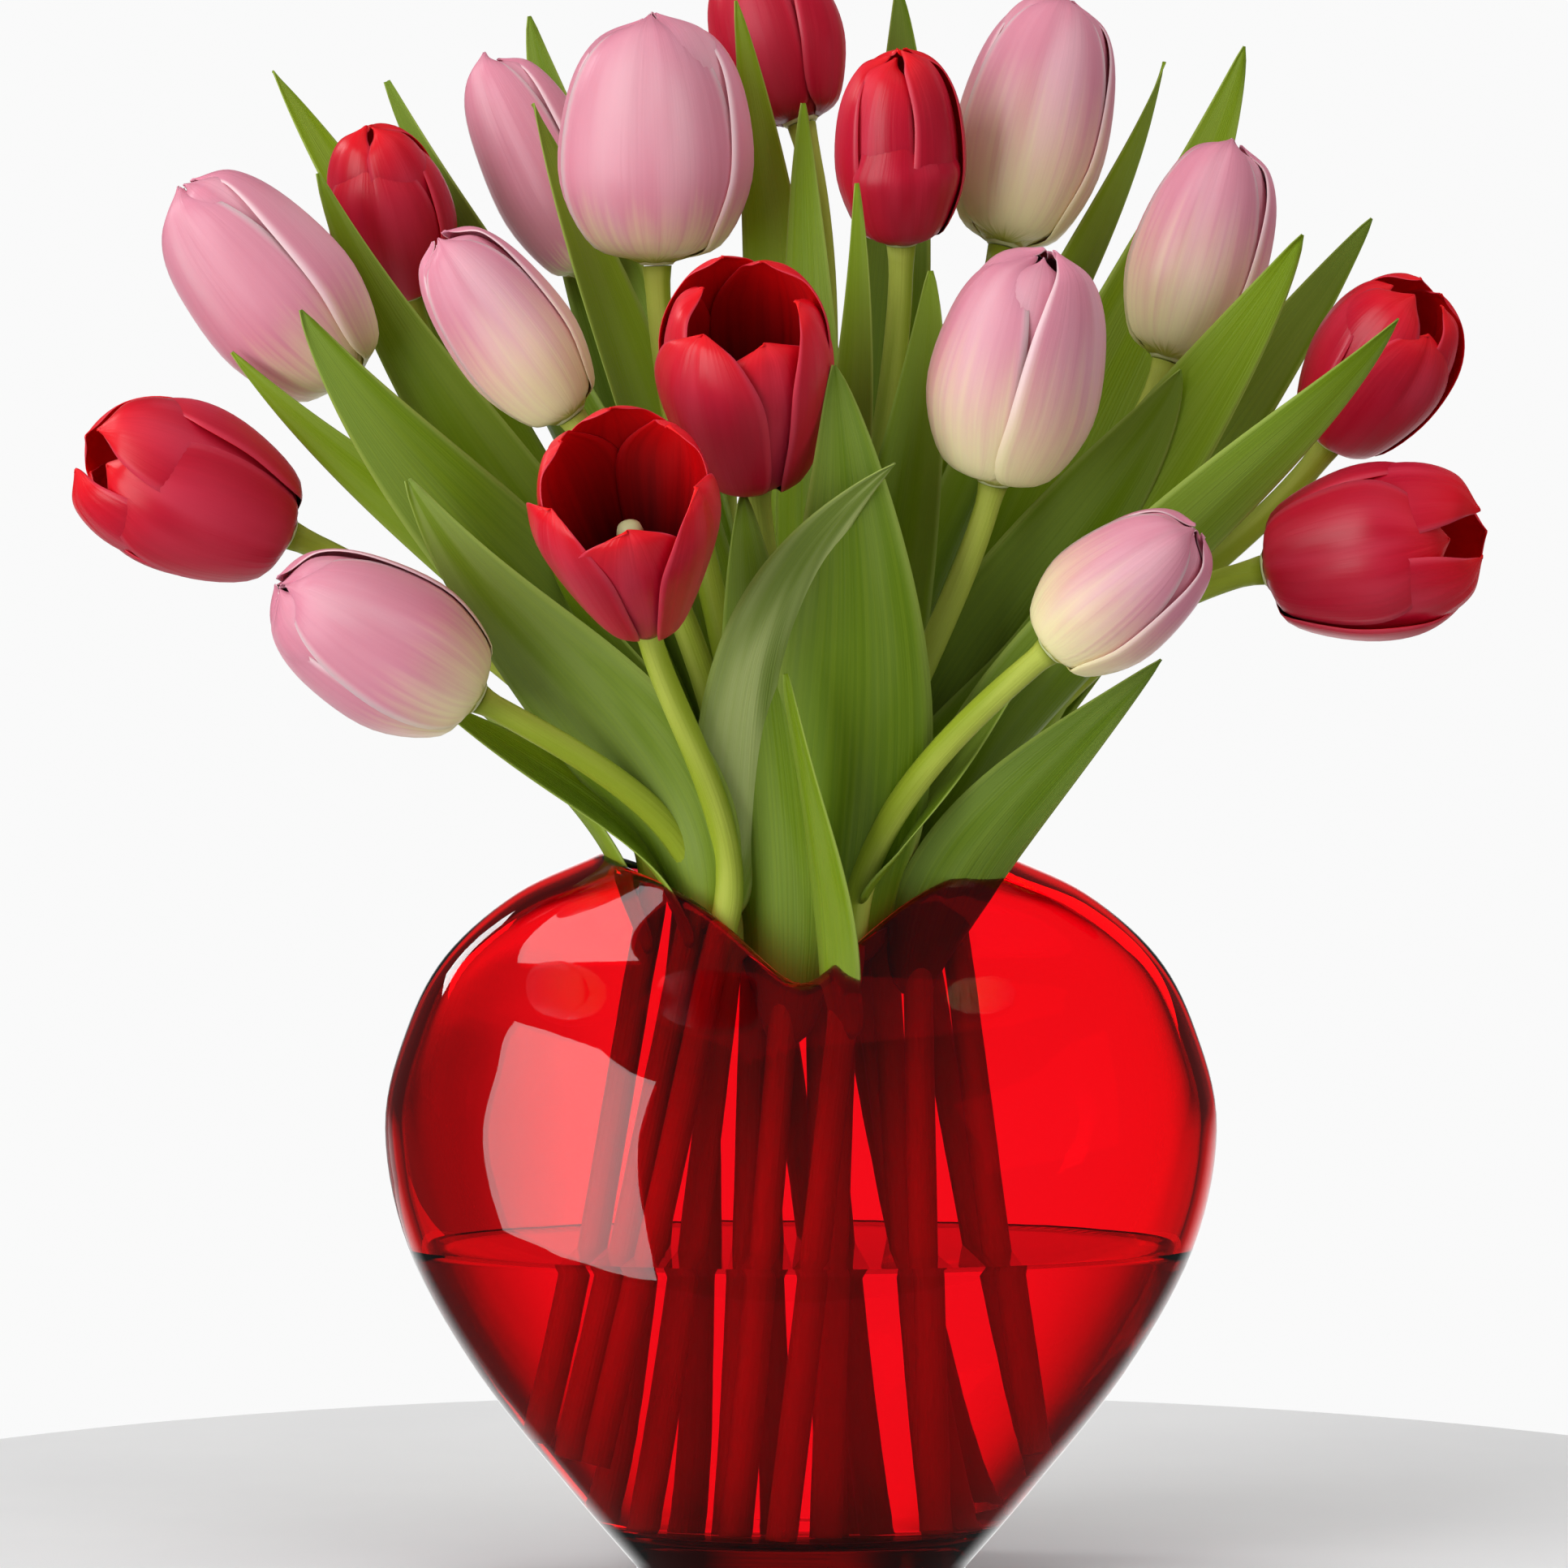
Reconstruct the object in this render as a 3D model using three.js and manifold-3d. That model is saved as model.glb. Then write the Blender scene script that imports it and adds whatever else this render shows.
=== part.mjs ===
import * as THREE from "three";
import { mergeGeometries, mergeVertices } from "three/addons/utils/BufferGeometryUtils.js";
import Module from "manifold-3d";

// Twenty cut tulips, ten red and ten pink, standing in water in a heart-shaped vase of red glass.
// Millimetres, +Z up, the front towards -Y, the origin at the centre of the vase's underside.

const wasm = await Module();
wasm.setup();

const vec = (x, y, z) => new THREE.Vector3(x, y, z);
const degrees = THREE.MathUtils.degToRad;
const steps = (from, to, count) =>
  Array.from({ length: count + 1 }, (_, i) => from + ((to - from) * i) / count);

// Gap that is kept between pieces that touch on the real thing.
const GAP = 0.3;

// Points nearer than this are one point.
const MERGE_DISTANCE = 0.01;

// Vase: half width and half depth of the outside, and its height, from the foot to the two ends of the lip.
const VASE_PROFILE = new THREE.CatmullRomCurve3(
  [
    vec(36, 33, 0),
    vec(53, 43, 20),
    vec(75, 50, 48),
    vec(90, 53, 76),
    vec(95, 51, 103),
    vec(90, 41, 125),
    vec(81, 29, 142),
    vec(65, 26, 156),
    vec(46, 25, 165),
  ],
  false,
  "catmullrom",
);
const LIP_HALF_WIDTH = 46;
const NOTCH_SHARE = 0.71;
const NOTCH_ROUNDING = 0.1;
const WALL = 4;
const FLOOR_HEIGHT = 12;
const FOOT_ROUNDING = 2;
const WATER_LEVEL = 75;
const WATER_ROWS = 6;
const VASE_COLUMNS = steps(0, 2 * Math.PI, 32).slice(0, -1);
const INSIDE_ROWS = 8;

// Stems: a straight stretch from the foot to the neck of the bunch, then a curve up to the bloom.
const STEM_RADIUS = 3.5;
const NECK_HEIGHT = 152;
const FAN_WIDTH = 1.7;
const FAN_DEPTH = 1.35;
const FAN_TURN = degrees(-25);
const MOUTH_FLATNESS = 0.62;
const STEM_BEND = 0.9;
const STEM_BENDS = 6;
const STEM_SIDES = 5;
const STRAIGHT_BELOW_BLOOM = 6;
const HOLE_SIDES = 8;
const HOLE_DEPTH = 2;

// Blades: thickness of a leaf and of a petal, and the radius at which they grow from the stem.
const LEAF_THICKNESS = 1;
const LEAF_SHEATH_RADIUS = 4.4;
const LEAF_SUNK_RADIUS = 1.5;
const LEAF_RISE = 0.3;
const LEAF_FULLNESS = 0.75;
const LEAF_BLUNTNESS = 0.8;
const LEAF_ROOT_HALF_WIDTH = 2;
const LEAF_TIP_HALF_WIDTH = 0.4;
const TROUGH_AT_TIP = 0.3;
const TROUGH_AT_ROOT = 1.5;
const WAVE_HEIGHT = 0.05;
const WAVE_RATE = 9;
const SHEATH_SHARE = 0.17;
const PETAL_THICKNESS = 1;
const PETAL_ROOT_RADIUS = 4.4;
const INNER_INSET = 4.4;
const PETAL_LAP = 1.4;
const TIP_ROUNDING = 0.08;
const RECEPTACLE_BOTTOM = [4.4, -0.6];
const RECEPTACLE_TOP = [3.8, 1.2];
const OPEN_ENOUGH = 0.3;

// Each tulip: where its stem passes the neck (x, y), the base and tip of its bloom, the bloom's radius,
// how far it is open (0 to 1), the turn of its petals in degrees, and its leaves. A leaf has its root (share
// of the stem's curve), the compass side that it grows on, a bend point, its tip and its width.
const TULIPS = [
  {
    colour: "red", neck: [-34, -5], base: [-116, -10, 238], tip: [-162, -28, 259],
    radius: 18.5, open: 0.3, turn: 15,
    leaves: [{ root: 0.12, side: 180, bend: [-60, -2, 184], tip: [-86, 2, 214], width: 11 }],
  },
  {
    colour: "pink", neck: [-24, -14], base: [-72, -42, 202], tip: [-115, -54, 227],
    radius: 17.5, open: 0.02, turn: -20,
    leaves: [
      { root: 0.15, side: -138, bend: [-63, -33, 208], tip: [-86, -32, 250], width: 27 },
      { root: 0.1, side: 170, bend: [-54, -18, 182], tip: [-84, -20, 203], width: 12 },
    ],
  },
  {
    colour: "pink", neck: [-26, 1], base: [-103, 5, 273], tip: [-141, 0, 318],
    radius: 18, open: 0.05, turn: 30,
    leaves: [
      { root: 0.42, side: -90, bend: [-88, -24, 246], tip: [-112, -20, 288], width: 22 },
      { root: 0.5, side: -100, bend: [-92, -18, 240], tip: [-128, -8, 279], width: 11 },
    ],
  },
  {
    colour: "red", neck: [-22, 11], base: [-92, 48, 294], tip: [-100, 30, 333],
    radius: 14.5, open: 0.15, turn: 10,
    leaves: [
      { root: 0.3, side: -100, bend: [-88, 18, 262], tip: [-110, 15, 320], width: 18 },
      { root: 0.4, side: 130, bend: [-105, 70, 320], tip: [-124, 72, 349], width: 16 },
    ],
  },
  {
    colour: "pink", neck: [-15, -8], base: [-52, -20, 265], tip: [-81, -28, 304],
    radius: 13.5, open: 0, turn: 0,
    leaves: [{ root: 0.3, side: -150, bend: [-46, -18, 212], tip: [-55, -9, 236], width: 12 }],
  },
  {
    colour: "pink", neck: [-11, 11], base: [-49, 64, 300], tip: [-74, 67, 351],
    radius: 13.5, open: 0.05, turn: 25,
    leaves: [
      { root: 0.25, side: 170, bend: [-76, 60, 300], tip: [-95, 66, 345], width: 20 },
      { root: 0.45, side: 80, bend: [-58, 88, 320], tip: [-66, 92, 363], width: 18 },
    ],
  },
  {
    colour: "pink", neck: [-10, 1], base: [-33, 10, 300], tip: [-34, 5, 356],
    radius: 22, open: 0, turn: 5,
    leaves: [{ root: 0.3, side: 140, bend: [-44, 36, 296], tip: [-60, 36, 338], width: 20 }],
  },
  {
    colour: "red", neck: [2, 10], base: [0, 45, 334], tip: [-12, 52, 379],
    radius: 15, open: 0.15, turn: 40,
    leaves: [{ root: 0.3, side: -90, bend: [-3, 28, 300], tip: [-15, 22, 360], width: 15 }],
  },
  {
    colour: "red", neck: [-2, -9], base: [-10, -25, 249], tip: [-14, -50, 296],
    radius: 18.5, open: 0.3, turn: 30,
    leaves: [
      { root: 0.05, side: -110, bend: [-12, -30, 200], tip: [-16, -28, 238], width: 16 },
      { root: 0.25, side: 60, bend: [14, -10, 255], tip: [11, -14, 317], width: 12 },
    ],
  },
  {
    colour: "red", neck: [-17, -18.6], base: [-34, -50, 218], tip: [-40, -82, 255],
    radius: 18, open: 0.85, turn: 60,
    leaves: [
      { root: 0.2, side: -65, bend: [-24, -62, 222], tip: [19, -60, 254], width: 19 },
    ],
  },
  {
    colour: "red", neck: [4, 0], base: [23, 16, 305], tip: [22, 2, 348],
    radius: 14.5, open: 0.1, turn: 25,
    leaves: [{ root: 0.25, side: -120, bend: [2, 8, 290], tip: [2, 14, 336], width: 15 }],
  },
  {
    colour: "pink", neck: [13, 10], base: [47, 34, 305], tip: [62, 40, 364],
    radius: 17.5, open: 0.05, turn: 0,
    leaves: [
      { root: 0.3, side: 0, bend: [70, 46, 300], tip: [82, 46, 348], width: 16 },
      { root: 0.3, side: 90, bend: [28, 64, 330], tip: [23, 66, 368], width: 16 },
    ],
  },
  {
    colour: "pink", neck: [10, -9], base: [43, -25, 250], tip: [54, -38, 301],
    radius: 19, open: 0.05, turn: -15,
    leaves: [{ root: 0.2, side: 60, bend: [28, 2, 262], tip: [28, 3, 298], width: 18 }],
  },
  {
    colour: "pink", neck: [18, 0], base: [84, 12, 278], tip: [99, 15, 328],
    radius: 15.5, open: 0.05, turn: 10,
    leaves: [
      { root: 0.3, side: -80, bend: [76, -6, 250], tip: [85, -8, 275], width: 22 },
      { root: 0.4, side: 90, bend: [94, 46, 310], tip: [104, 46, 352], width: 18 },
    ],
  },
  {
    colour: "red", neck: [34, 0], base: [121, 10, 259], tip: [143, -8, 295],
    radius: 15.5, open: 0.35, turn: 45,
    leaves: [
      { root: 0.25, side: -90, bend: [92, -8, 265], tip: [113, -8, 305], width: 22 },
      { root: 0.4, side: 90, bend: [112, 42, 280], tip: [134, 44, 312], width: 15 },
    ],
  },
  {
    colour: "red", neck: [26, -10], base: [105, -12, 230], tip: [156, -25, 239],
    radius: 19, open: 0.3, turn: 0,
    leaves: [
      { root: 0.3, side: -60, bend: [108, -34, 255], tip: [131, -32, 286], width: 16 },
      { root: 0.03, side: -70, bend: [48, -28, 180], tip: [79, -32, 210], width: 16 },
    ],
  },
  {
    colour: "pink", neck: [12, -19.8], base: [55, -48, 213], tip: [86, -60, 239],
    radius: 14.5, open: 0.02, turn: 20,
    leaves: [
      { root: 0.03, side: -100, bend: [17, -54, 225], tip: [10, -46, 275], width: 31 },
      { root: 0, side: -150, bend: [4, -40, 176], tip: [-1, -46, 207], width: 14 },
      { root: 0.25, side: 30, bend: [46, -20, 200], tip: [60, -14, 236], width: 18 },
    ],
  },
  {
    colour: "red", neck: [-8, 20], base: [-18, 75, 252], tip: [-18, 92, 292],
    radius: 16, open: 0.1, turn: 0,
    leaves: [{ root: 0.1, side: 110, bend: [-48, 80, 230], tip: [-72, 92, 262], width: 24 }],
  },
  {
    colour: "red", neck: [8, 20], base: [38, 75, 254], tip: [48, 92, 292],
    radius: 16, open: 0.1, turn: 30,
    leaves: [{ root: 0.1, side: 90, bend: [12, 74, 250], tip: [4, 92, 290], width: 26 }],
  },
  {
    colour: "pink", neck: [26, 10], base: [86, 60, 266], tip: [98, 74, 310],
    radius: 14.5, open: 0.05, turn: 15,
    leaves: [{ root: 0.1, side: 50, bend: [74, 70, 230], tip: [100, 78, 262], width: 24 }],
  },
];

// A closed geometry from a list of points and of triangles.
function geometryOf(points, triangles) {
  const geometry = new THREE.BufferGeometry();
  geometry.setAttribute("position", new THREE.Float32BufferAttribute(points.flatMap((p) => p.toArray()), 3));
  geometry.setIndex(triangles.flat());
  return geometry;
}

// A closed skin over rings of points, with a middle point that closes each end.
function skin(rings, firstMiddle, lastMiddle) {
  const sides = rings[0].length;
  const points = [...rings.flat(), firstMiddle, lastMiddle];
  const [first, last] = [points.length - 2, points.length - 1];
  const triangles = [];
  for (let j = 0; j < sides; j += 1) {
    const next = (j + 1) % sides;
    triangles.push([first, next, j]);
    for (let i = 0; i + 1 < rings.length; i += 1) {
      const [a, b] = [i * sides + j, i * sides + next];
      triangles.push([a, b, b + sides], [a, b + sides, a + sides]);
    }
    const top = (rings.length - 1) * sides;
    triangles.push([last, top + j, top + next]);
  }
  return geometryOf(points, triangles);
}

// Unit normal of a surface of two parameters, towards (along the first) x (along the second).
function normalOf(surface, u, v) {
  const e = 0.001;
  const along = surface(u + e, v).sub(surface(u - e, v));
  const across = surface(u, v + e).sub(surface(u, v - e));
  return along.cross(across).normalize();
}

// A blade: a surface of u (root to tip) and v (edge to edge, -1 to 1) thickened by half each way, with both
// faces split into triangles alike. Where a root is given, it places the first row, which is left open there.
function blade(surface, lengthSteps, widthSteps, thickness, root) {
  const [rows, columns] = [steps(0, 1, lengthSteps), steps(-1, 1, widthSteps)];
  const faces = [1, -1].map((way) =>
    rows.flatMap((u) =>
      columns.map((v) => {
        if (root && u === 0) return root(v, way);
        return surface(u, v).addScaledVector(normalOf(surface, u, v), (way * thickness) / 2);
      }),
    ),
  );
  const width = columns.length;
  const back = faces[0].length;
  const triangles = [];
  for (let i = 0; i < lengthSteps; i += 1) {
    for (let j = 0; j < widthSteps; j += 1) {
      const a = i * width + j;
      const [b, c, d] = [a + 1, a + width + 1, a + width];
      triangles.push([a, c, b], [a, d, c]);
      triangles.push([a + back, b + back, c + back], [a + back, c + back, d + back]);
    }
  }
  const border = [
    ...steps(0, widthSteps, widthSteps),
    ...steps(1, lengthSteps, lengthSteps - 1).map((i) => i * width + widthSteps),
    ...steps(widthSteps - 1, 0, widthSteps - 1).map((j) => lengthSteps * width + j),
    ...steps(lengthSteps - 1, 1, lengthSteps - 2).map((i) => i * width),
  ];
  border.forEach((a, k) => {
    if (root && k < widthSteps) return;
    const b = border[(k + 1) % border.length];
    triangles.push([a, b, b + back], [a, b + back, a + back]);
  });
  return geometryOf(faces.flat(), triangles);
}

// A geometry as a solid, turned the right way out.
function solidOf(geometry) {
  const merged = mergeVertices(geometry, MERGE_DISTANCE);
  const triVerts = new Uint32Array(merged.index.array);
  const vertProperties = merged.attributes.position.array;
  const solid = new wasm.Manifold(new wasm.Mesh({ numProp: 3, vertProperties, triVerts }));
  if (solid.volume() > 0) return solid;
  return new wasm.Manifold(new wasm.Mesh({ numProp: 3, vertProperties, triVerts: triVerts.toReversed() }));
}

// Geometries grown together as one body, with any hollow that this seals filled.
function fuse(geometries) {
  const joined = wasm.Manifold.union(geometries.map(solidOf));
  return wasm.Manifold.union(joined.decompose().filter((body) => body.volume() > 0));
}

// A solid as a three.js geometry.
function geometryFrom(solid) {
  const { numProp, numVert, vertProperties, triVerts } = solid.getMesh();
  const positions = new Float32Array(numVert * 3);
  for (let i = 0; i < numVert; i += 1) {
    positions.set(vertProperties.subarray(i * numProp, i * numProp + 3), i * 3);
  }
  const geometry = new THREE.BufferGeometry();
  geometry.setAttribute("position", new THREE.BufferAttribute(positions, 3));
  geometry.setIndex(new THREE.BufferAttribute(triVerts, 1));
  return geometry;
}

function node(name, geometry, material) {
  const mesh = new THREE.Mesh(geometry, material);
  mesh.name = name;
  return mesh;
}

// Share of the profile at which the lip lies, round the mouth: lowest at the front and back notches.
function lipShare(angle) {
  const rounded = (c) => Math.hypot(c, NOTCH_ROUNDING) - NOTCH_ROUNDING;
  return NOTCH_SHARE + ((1 - NOTCH_SHARE) * rounded(Math.cos(angle))) / rounded(1);
}

// Outside of the vase: an ellipse at each height, whose points draw in towards the narrow mouth.
function vaseOutside(height, angle) {
  const share = THREE.MathUtils.clamp(height, 0, 1);
  const { x: width, y: depth, z } = VASE_PROFILE.getPoint(share);
  const lip = lipShare(angle);
  const drawn = LIP_HALF_WIDTH / VASE_PROFILE.getPoint(lip).x;
  const c = Math.cos(angle) * (1 + (drawn - 1) * (share / lip) ** 2);
  const s = Math.sign(Math.sin(angle)) * Math.sqrt(Math.max(0, 1 - c * c));
  return vec(width * c, depth * s, z);
}

// The outside moved in along its normal.
function vaseInside(share, angle, inset) {
  return vaseOutside(share, angle).addScaledVector(normalOf(vaseOutside, share, angle), inset);
}

// Share of the profile at which the moved-in wall reaches a height, by halving.
function shareAtHeight(height, angle, inset) {
  let [low, high] = [0.002, NOTCH_SHARE];
  for (let i = 0; i < 30; i += 1) {
    const middle = (low + high) / 2;
    if (vaseInside(middle, angle, inset).z < height) low = middle;
    else high = middle;
  }
  return low;
}

function glass() {
  const look = { color: 0xd0021b, roughness: 0.05, metalness: 0, transparent: true, opacity: 0.5 };
  return new THREE.MeshStandardMaterial(look);
}

function waterMaterial() {
  const look = { color: 0xdfe9ea, roughness: 0.05, metalness: 0, transparent: true, opacity: 0.3 };
  return new THREE.MeshStandardMaterial(look);
}

function green() {
  return new THREE.MeshStandardMaterial({ color: 0x5f8a33, roughness: 0.55, metalness: 0 });
}

function petalMaterial(colour) {
  const tints = { red: 0xc01028, pink: 0xe8a0b4 };
  return new THREE.MeshStandardMaterial({ color: tints[colour], roughness: 0.5, metalness: 0 });
}

// A ring of the inside wall, from the bottom's edge (0) to the lip (1), moved in by an inset.
function insideRing(k, inset) {
  return VASE_COLUMNS.map((angle) => {
    const floor = shareAtHeight(FLOOR_HEIGHT, angle, WALL);
    return vaseInside(floor + (lipShare(angle) - floor) * k, angle, inset);
  });
}

// The vase: rounded foot, outside wall, round lip, inside wall and thick bottom in one skin.
function vaseGeometry() {
  const columns = VASE_COLUMNS;
  const footShare = shareAtHeight(FOOT_ROUNDING, 0, 0);
  const foot = [90, 45].map(degrees).map((turn) =>
    columns.map((angle) => {
      const p = vaseOutside(footShare, angle);
      const inward = vec(-p.x, -p.y, 0).normalize();
      p.addScaledVector(inward, FOOT_ROUNDING * (1 - Math.cos(turn)));
      p.z = FOOT_ROUNDING * (1 - Math.sin(turn));
      return p;
    }),
  );
  const outside = steps(0, 1, 9).map((k) =>
    columns.map((angle) => vaseOutside(footShare + (lipShare(angle) - footShare) * k, angle)),
  );
  const lip = [45, 135].map(degrees).map((turn) =>
    columns.map((angle) => {
      const share = lipShare(angle);
      const up = vaseOutside(share, angle).sub(vaseOutside(share - 0.001, angle)).normalize();
      const middle = vaseInside(share, angle, WALL / 2);
      const out = vaseOutside(share, angle).sub(middle);
      return middle.addScaledVector(out, Math.cos(turn)).addScaledVector(up, (WALL / 2) * Math.sin(turn));
    }),
  );
  const inside = steps(1, 0, INSIDE_ROWS).map((k) => insideRing(k, WALL));
  return skin([...foot, ...outside, ...lip, ...inside], vec(0, 0, 0), vec(0, 0, FLOOR_HEIGHT));
}

// The water: the space inside the wall, kept between the bottom and the level, without the stems' holes.
function waterSolid() {
  const rings = steps(0, WATER_ROWS / INSIDE_ROWS, WATER_ROWS).map((k) => insideRing(k, WALL + GAP));
  const space = solidOf(skin(rings, vec(0, 0, rings[0][0].z), vec(0, 0, rings.at(-1)[0].z)));
  const bottom = FLOOR_HEIGHT + GAP;
  const beyond = 300;
  const slab = new THREE.BoxGeometry(beyond, beyond, WATER_LEVEL - bottom);
  slab.translate(0, 0, (WATER_LEVEL + bottom) / 2);
  slab.deleteAttribute("normal");
  slab.deleteAttribute("uv");
  const holes = wasm.Manifold.union(TULIPS.map((tulip) => solidOf(stemHole(tulip))));
  return space.intersect(solidOf(slab)).subtract(holes);
}

// Foot of a stem: the neck's place spread and turned, with the edge of the leaning cut end just above the
// bottom, and lifted along the stem's line until it stands clear of the wall.
function footOf([x, y]) {
  const flat = y / MOUTH_FLATNESS;
  const turned = [
    x * Math.cos(FAN_TURN) - flat * Math.sin(FAN_TURN),
    x * Math.sin(FAN_TURN) + flat * Math.cos(FAN_TURN),
  ];
  const neck = vec(x, y, NECK_HEIGHT);
  const end = vec(turned[0] * FAN_WIDTH, turned[1] * FAN_DEPTH * MOUTH_FLATNESS, FLOOR_HEIGHT + GAP);
  const lean = Math.hypot(neck.x - end.x, neck.y - end.y) / neck.distanceTo(end);
  end.z += STEM_RADIUS * lean;
  const clear = WALL + 2 * GAP + STEM_RADIUS;
  let foot = end;
  for (let share = 0; share < 1; share += 0.01) {
    foot = end.clone().lerp(neck, share);
    const halfWidth = vaseInside(shareAtHeight(foot.z, 0, clear), 0, clear).x;
    const halfDepth = vaseInside(shareAtHeight(foot.z, Math.PI / 2, clear), Math.PI / 2, clear).y;
    if (Math.hypot(foot.x / halfWidth, foot.y / halfDepth) <= 1) break;
  }
  return foot;
}

// A tulip's stem as points: below the neck (share under 0) it is straight, above it is a Hermite curve that
// leaves the neck in the straight part's direction and ends in the bloom's.
function stemCurve(tulip) {
  const neck = vec(...tulip.neck, NECK_HEIGHT);
  const foot = footOf(tulip.neck);
  const base = vec(...tulip.base);
  const axis = vec(...tulip.tip).sub(base).normalize();
  const reach = base.distanceTo(neck) * STEM_BEND;
  const start = neck.clone().sub(foot).normalize().multiplyScalar(reach);
  const finish = axis.clone().multiplyScalar(reach);
  return (share) => {
    if (share < 0) return neck.clone().addScaledVector(start, share / STEM_BEND);
    const [s, s2, s3] = [share, share ** 2, share ** 3];
    return vec(0, 0, 0)
      .addScaledVector(neck, 2 * s3 - 3 * s2 + 1)
      .addScaledVector(start, s3 - 2 * s2 + s)
      .addScaledVector(base, 3 * s2 - 2 * s3)
      .addScaledVector(finish, s3 - s2);
  };
}

// Rings of points round a path, kept from turning about it.
function tubeRings(path, radii, sides) {
  let side = vec(1, 0, 0);
  return path.map((p, i) => {
    const along = path[Math.min(i + 1, path.length - 1)].clone().sub(path[Math.max(i - 1, 0)]).normalize();
    side = side.clone().addScaledVector(along, -side.dot(along)).normalize();
    const other = along.clone().cross(side);
    return steps(0, 2 * Math.PI, sides)
      .slice(0, -1)
      .map((angle) =>
        p
          .clone()
          .addScaledVector(side, radii[i] * Math.cos(angle))
          .addScaledVector(other, radii[i] * Math.sin(angle)),
      );
  });
}

function tube(path, radii, sides) {
  return skin(tubeRings(path, radii, sides), path[0], path[path.length - 1]);
}

function stemTube(tulip) {
  const curve = stemCurve(tulip);
  const base = vec(...tulip.base);
  const axis = vec(...tulip.tip).sub(base).normalize();
  const cut = GAP - RECEPTACLE_BOTTOM[1];
  const [below, end] = [STRAIGHT_BELOW_BLOOM, cut].map((d) => base.clone().addScaledVector(axis, -d));
  const path = [footOf(tulip.neck), ...steps(0, 1 - 1 / STEM_BENDS, STEM_BENDS - 1).map(curve), below, end];
  return tube(path, path.map(() => STEM_RADIUS), STEM_SIDES);
}

// The straight hole that a stem needs in the water.
function stemHole(tulip) {
  const neck = vec(...tulip.neck, NECK_HEIGHT);
  const foot = footOf(tulip.neck);
  const along = neck.clone().sub(foot).normalize();
  const radius = (STEM_RADIUS + GAP) / Math.cos(Math.PI / HOLE_SIDES);
  return tube([foot.clone().addScaledVector(along, -HOLE_DEPTH), neck], [radius, radius], HOLE_SIDES);
}

// A leaf's blade: a trough that clasps the stem at its root and opens flat towards its pointed tip. Its spine
// is a Bezier curve; its half width swells to the middle; its edges are waved.
function leafSurface(tulip, leaf) {
  const curve = stemCurve(tulip);
  const stem = curve(leaf.root);
  const growth = curve(leaf.root + 0.01).sub(stem).normalize();
  const compass = degrees(leaf.side);
  const outward = vec(Math.cos(compass), Math.sin(compass), 0);
  outward.addScaledVector(growth, -outward.dot(growth)).normalize();
  const root = stem.clone().addScaledVector(outward, LEAF_SUNK_RADIUS);
  const [bend, tip] = [vec(...leaf.bend), vec(...leaf.tip)];
  const rise = root.clone().addScaledVector(growth, LEAF_RISE * root.distanceTo(tip));
  const spine = new THREE.CubicBezierCurve3(root, rise, bend, tip);
  return (u, v) => {
    const share = THREE.MathUtils.clamp(u, 0, 1);
    const along = spine.getTangent(share);
    const normal = outward.clone().addScaledVector(along, -outward.dot(along)).normalize();
    const across = along.clone().cross(normal);
    const swell = Math.abs(Math.sin(Math.PI * share ** LEAF_FULLNESS)) ** LEAF_BLUNTNESS;
    const halfWidth =
      (leaf.width / 2) * swell + THREE.MathUtils.lerp(LEAF_ROOT_HALF_WIDTH, LEAF_TIP_HALF_WIDTH, share);
    const trough = THREE.MathUtils.lerp(TROUGH_AT_TIP, TROUGH_AT_ROOT, (1 - share) ** 4);
    const radius = halfWidth / trough;
    const wave = WAVE_HEIGHT * leaf.width * v * v * Math.sin(WAVE_RATE * share + v) * share;
    const wrap = THREE.MathUtils.smoothstep(share, 0, SHEATH_SHARE);
    const sheath = (LEAF_SHEATH_RADIUS - LEAF_SUNK_RADIUS) * wrap;
    return spine
      .getPoint(share)
      .addScaledVector(outward, sheath)
      .addScaledVector(across, radius * Math.sin(v * trough))
      .addScaledVector(normal, wave - radius * (1 - Math.cos(v * trough)));
  };
}

// A bloom's own axes: its length, and a function that places a point by radius, angle from the front, and
// height along the axis.
function bloomFrame(tulip) {
  const base = vec(...tulip.base);
  const axis = vec(...tulip.tip).sub(base);
  const length = axis.length();
  axis.normalize();
  const front = vec(0, -1, 0).addScaledVector(axis, axis.y).normalize();
  const right = front.clone().cross(axis);
  const place = (radius, angle, height) =>
    base
      .clone()
      .addScaledVector(axis, height)
      .addScaledVector(front, radius * Math.cos(angle))
      .addScaledVector(right, radius * Math.sin(angle));
  return { length, place };
}

// A petal's surface, cupped round the bloom's axis: its radius, height and half angle follow one curve from
// root to tip, and one edge lies over the next petal's.
function petalSurface(tulip, inner, index) {
  const { length, place } = bloomFrame(tulip);
  const { radius, open } = tulip;
  const inset = inner ? INNER_INSET : 0;
  const lift = inner ? 2 : 0;
  const halfAngle = inner ? 0.85 : 1.12;
  const profile = new THREE.CatmullRomCurve3(
    [
      vec(PETAL_ROOT_RADIUS, 0.3, Math.PI / 6),
      vec(0.74 * radius - inset, 0.07 * length + lift, halfAngle),
      vec(radius - inset, 0.35 * length, halfAngle),
      vec((0.88 + 0.3 * open) * radius - inset, 0.74 * length, 0.86 * halfAngle),
      vec((0.32 + 1.05 * open) * radius - 0.5 * inset, (1 - 0.1 * open) * length, 0.42),
    ],
    false,
    "catmullrom",
  );
  const centre = degrees(tulip.turn + 120 * index + (inner ? 60 : 0));
  return (u, v) => {
    const share = THREE.MathUtils.clamp(u, 0, 1);
    const { x: r, y: height, z: spread } = profile.getPoint(share);
    const angle = centre + v * spread;
    const reach = r + (inner ? 0 : PETAL_LAP) * v * Math.min(1, 8 * share);
    return place(reach, angle, height - TIP_ROUNDING * length * v * v * share ** 3);
  };
}

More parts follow.
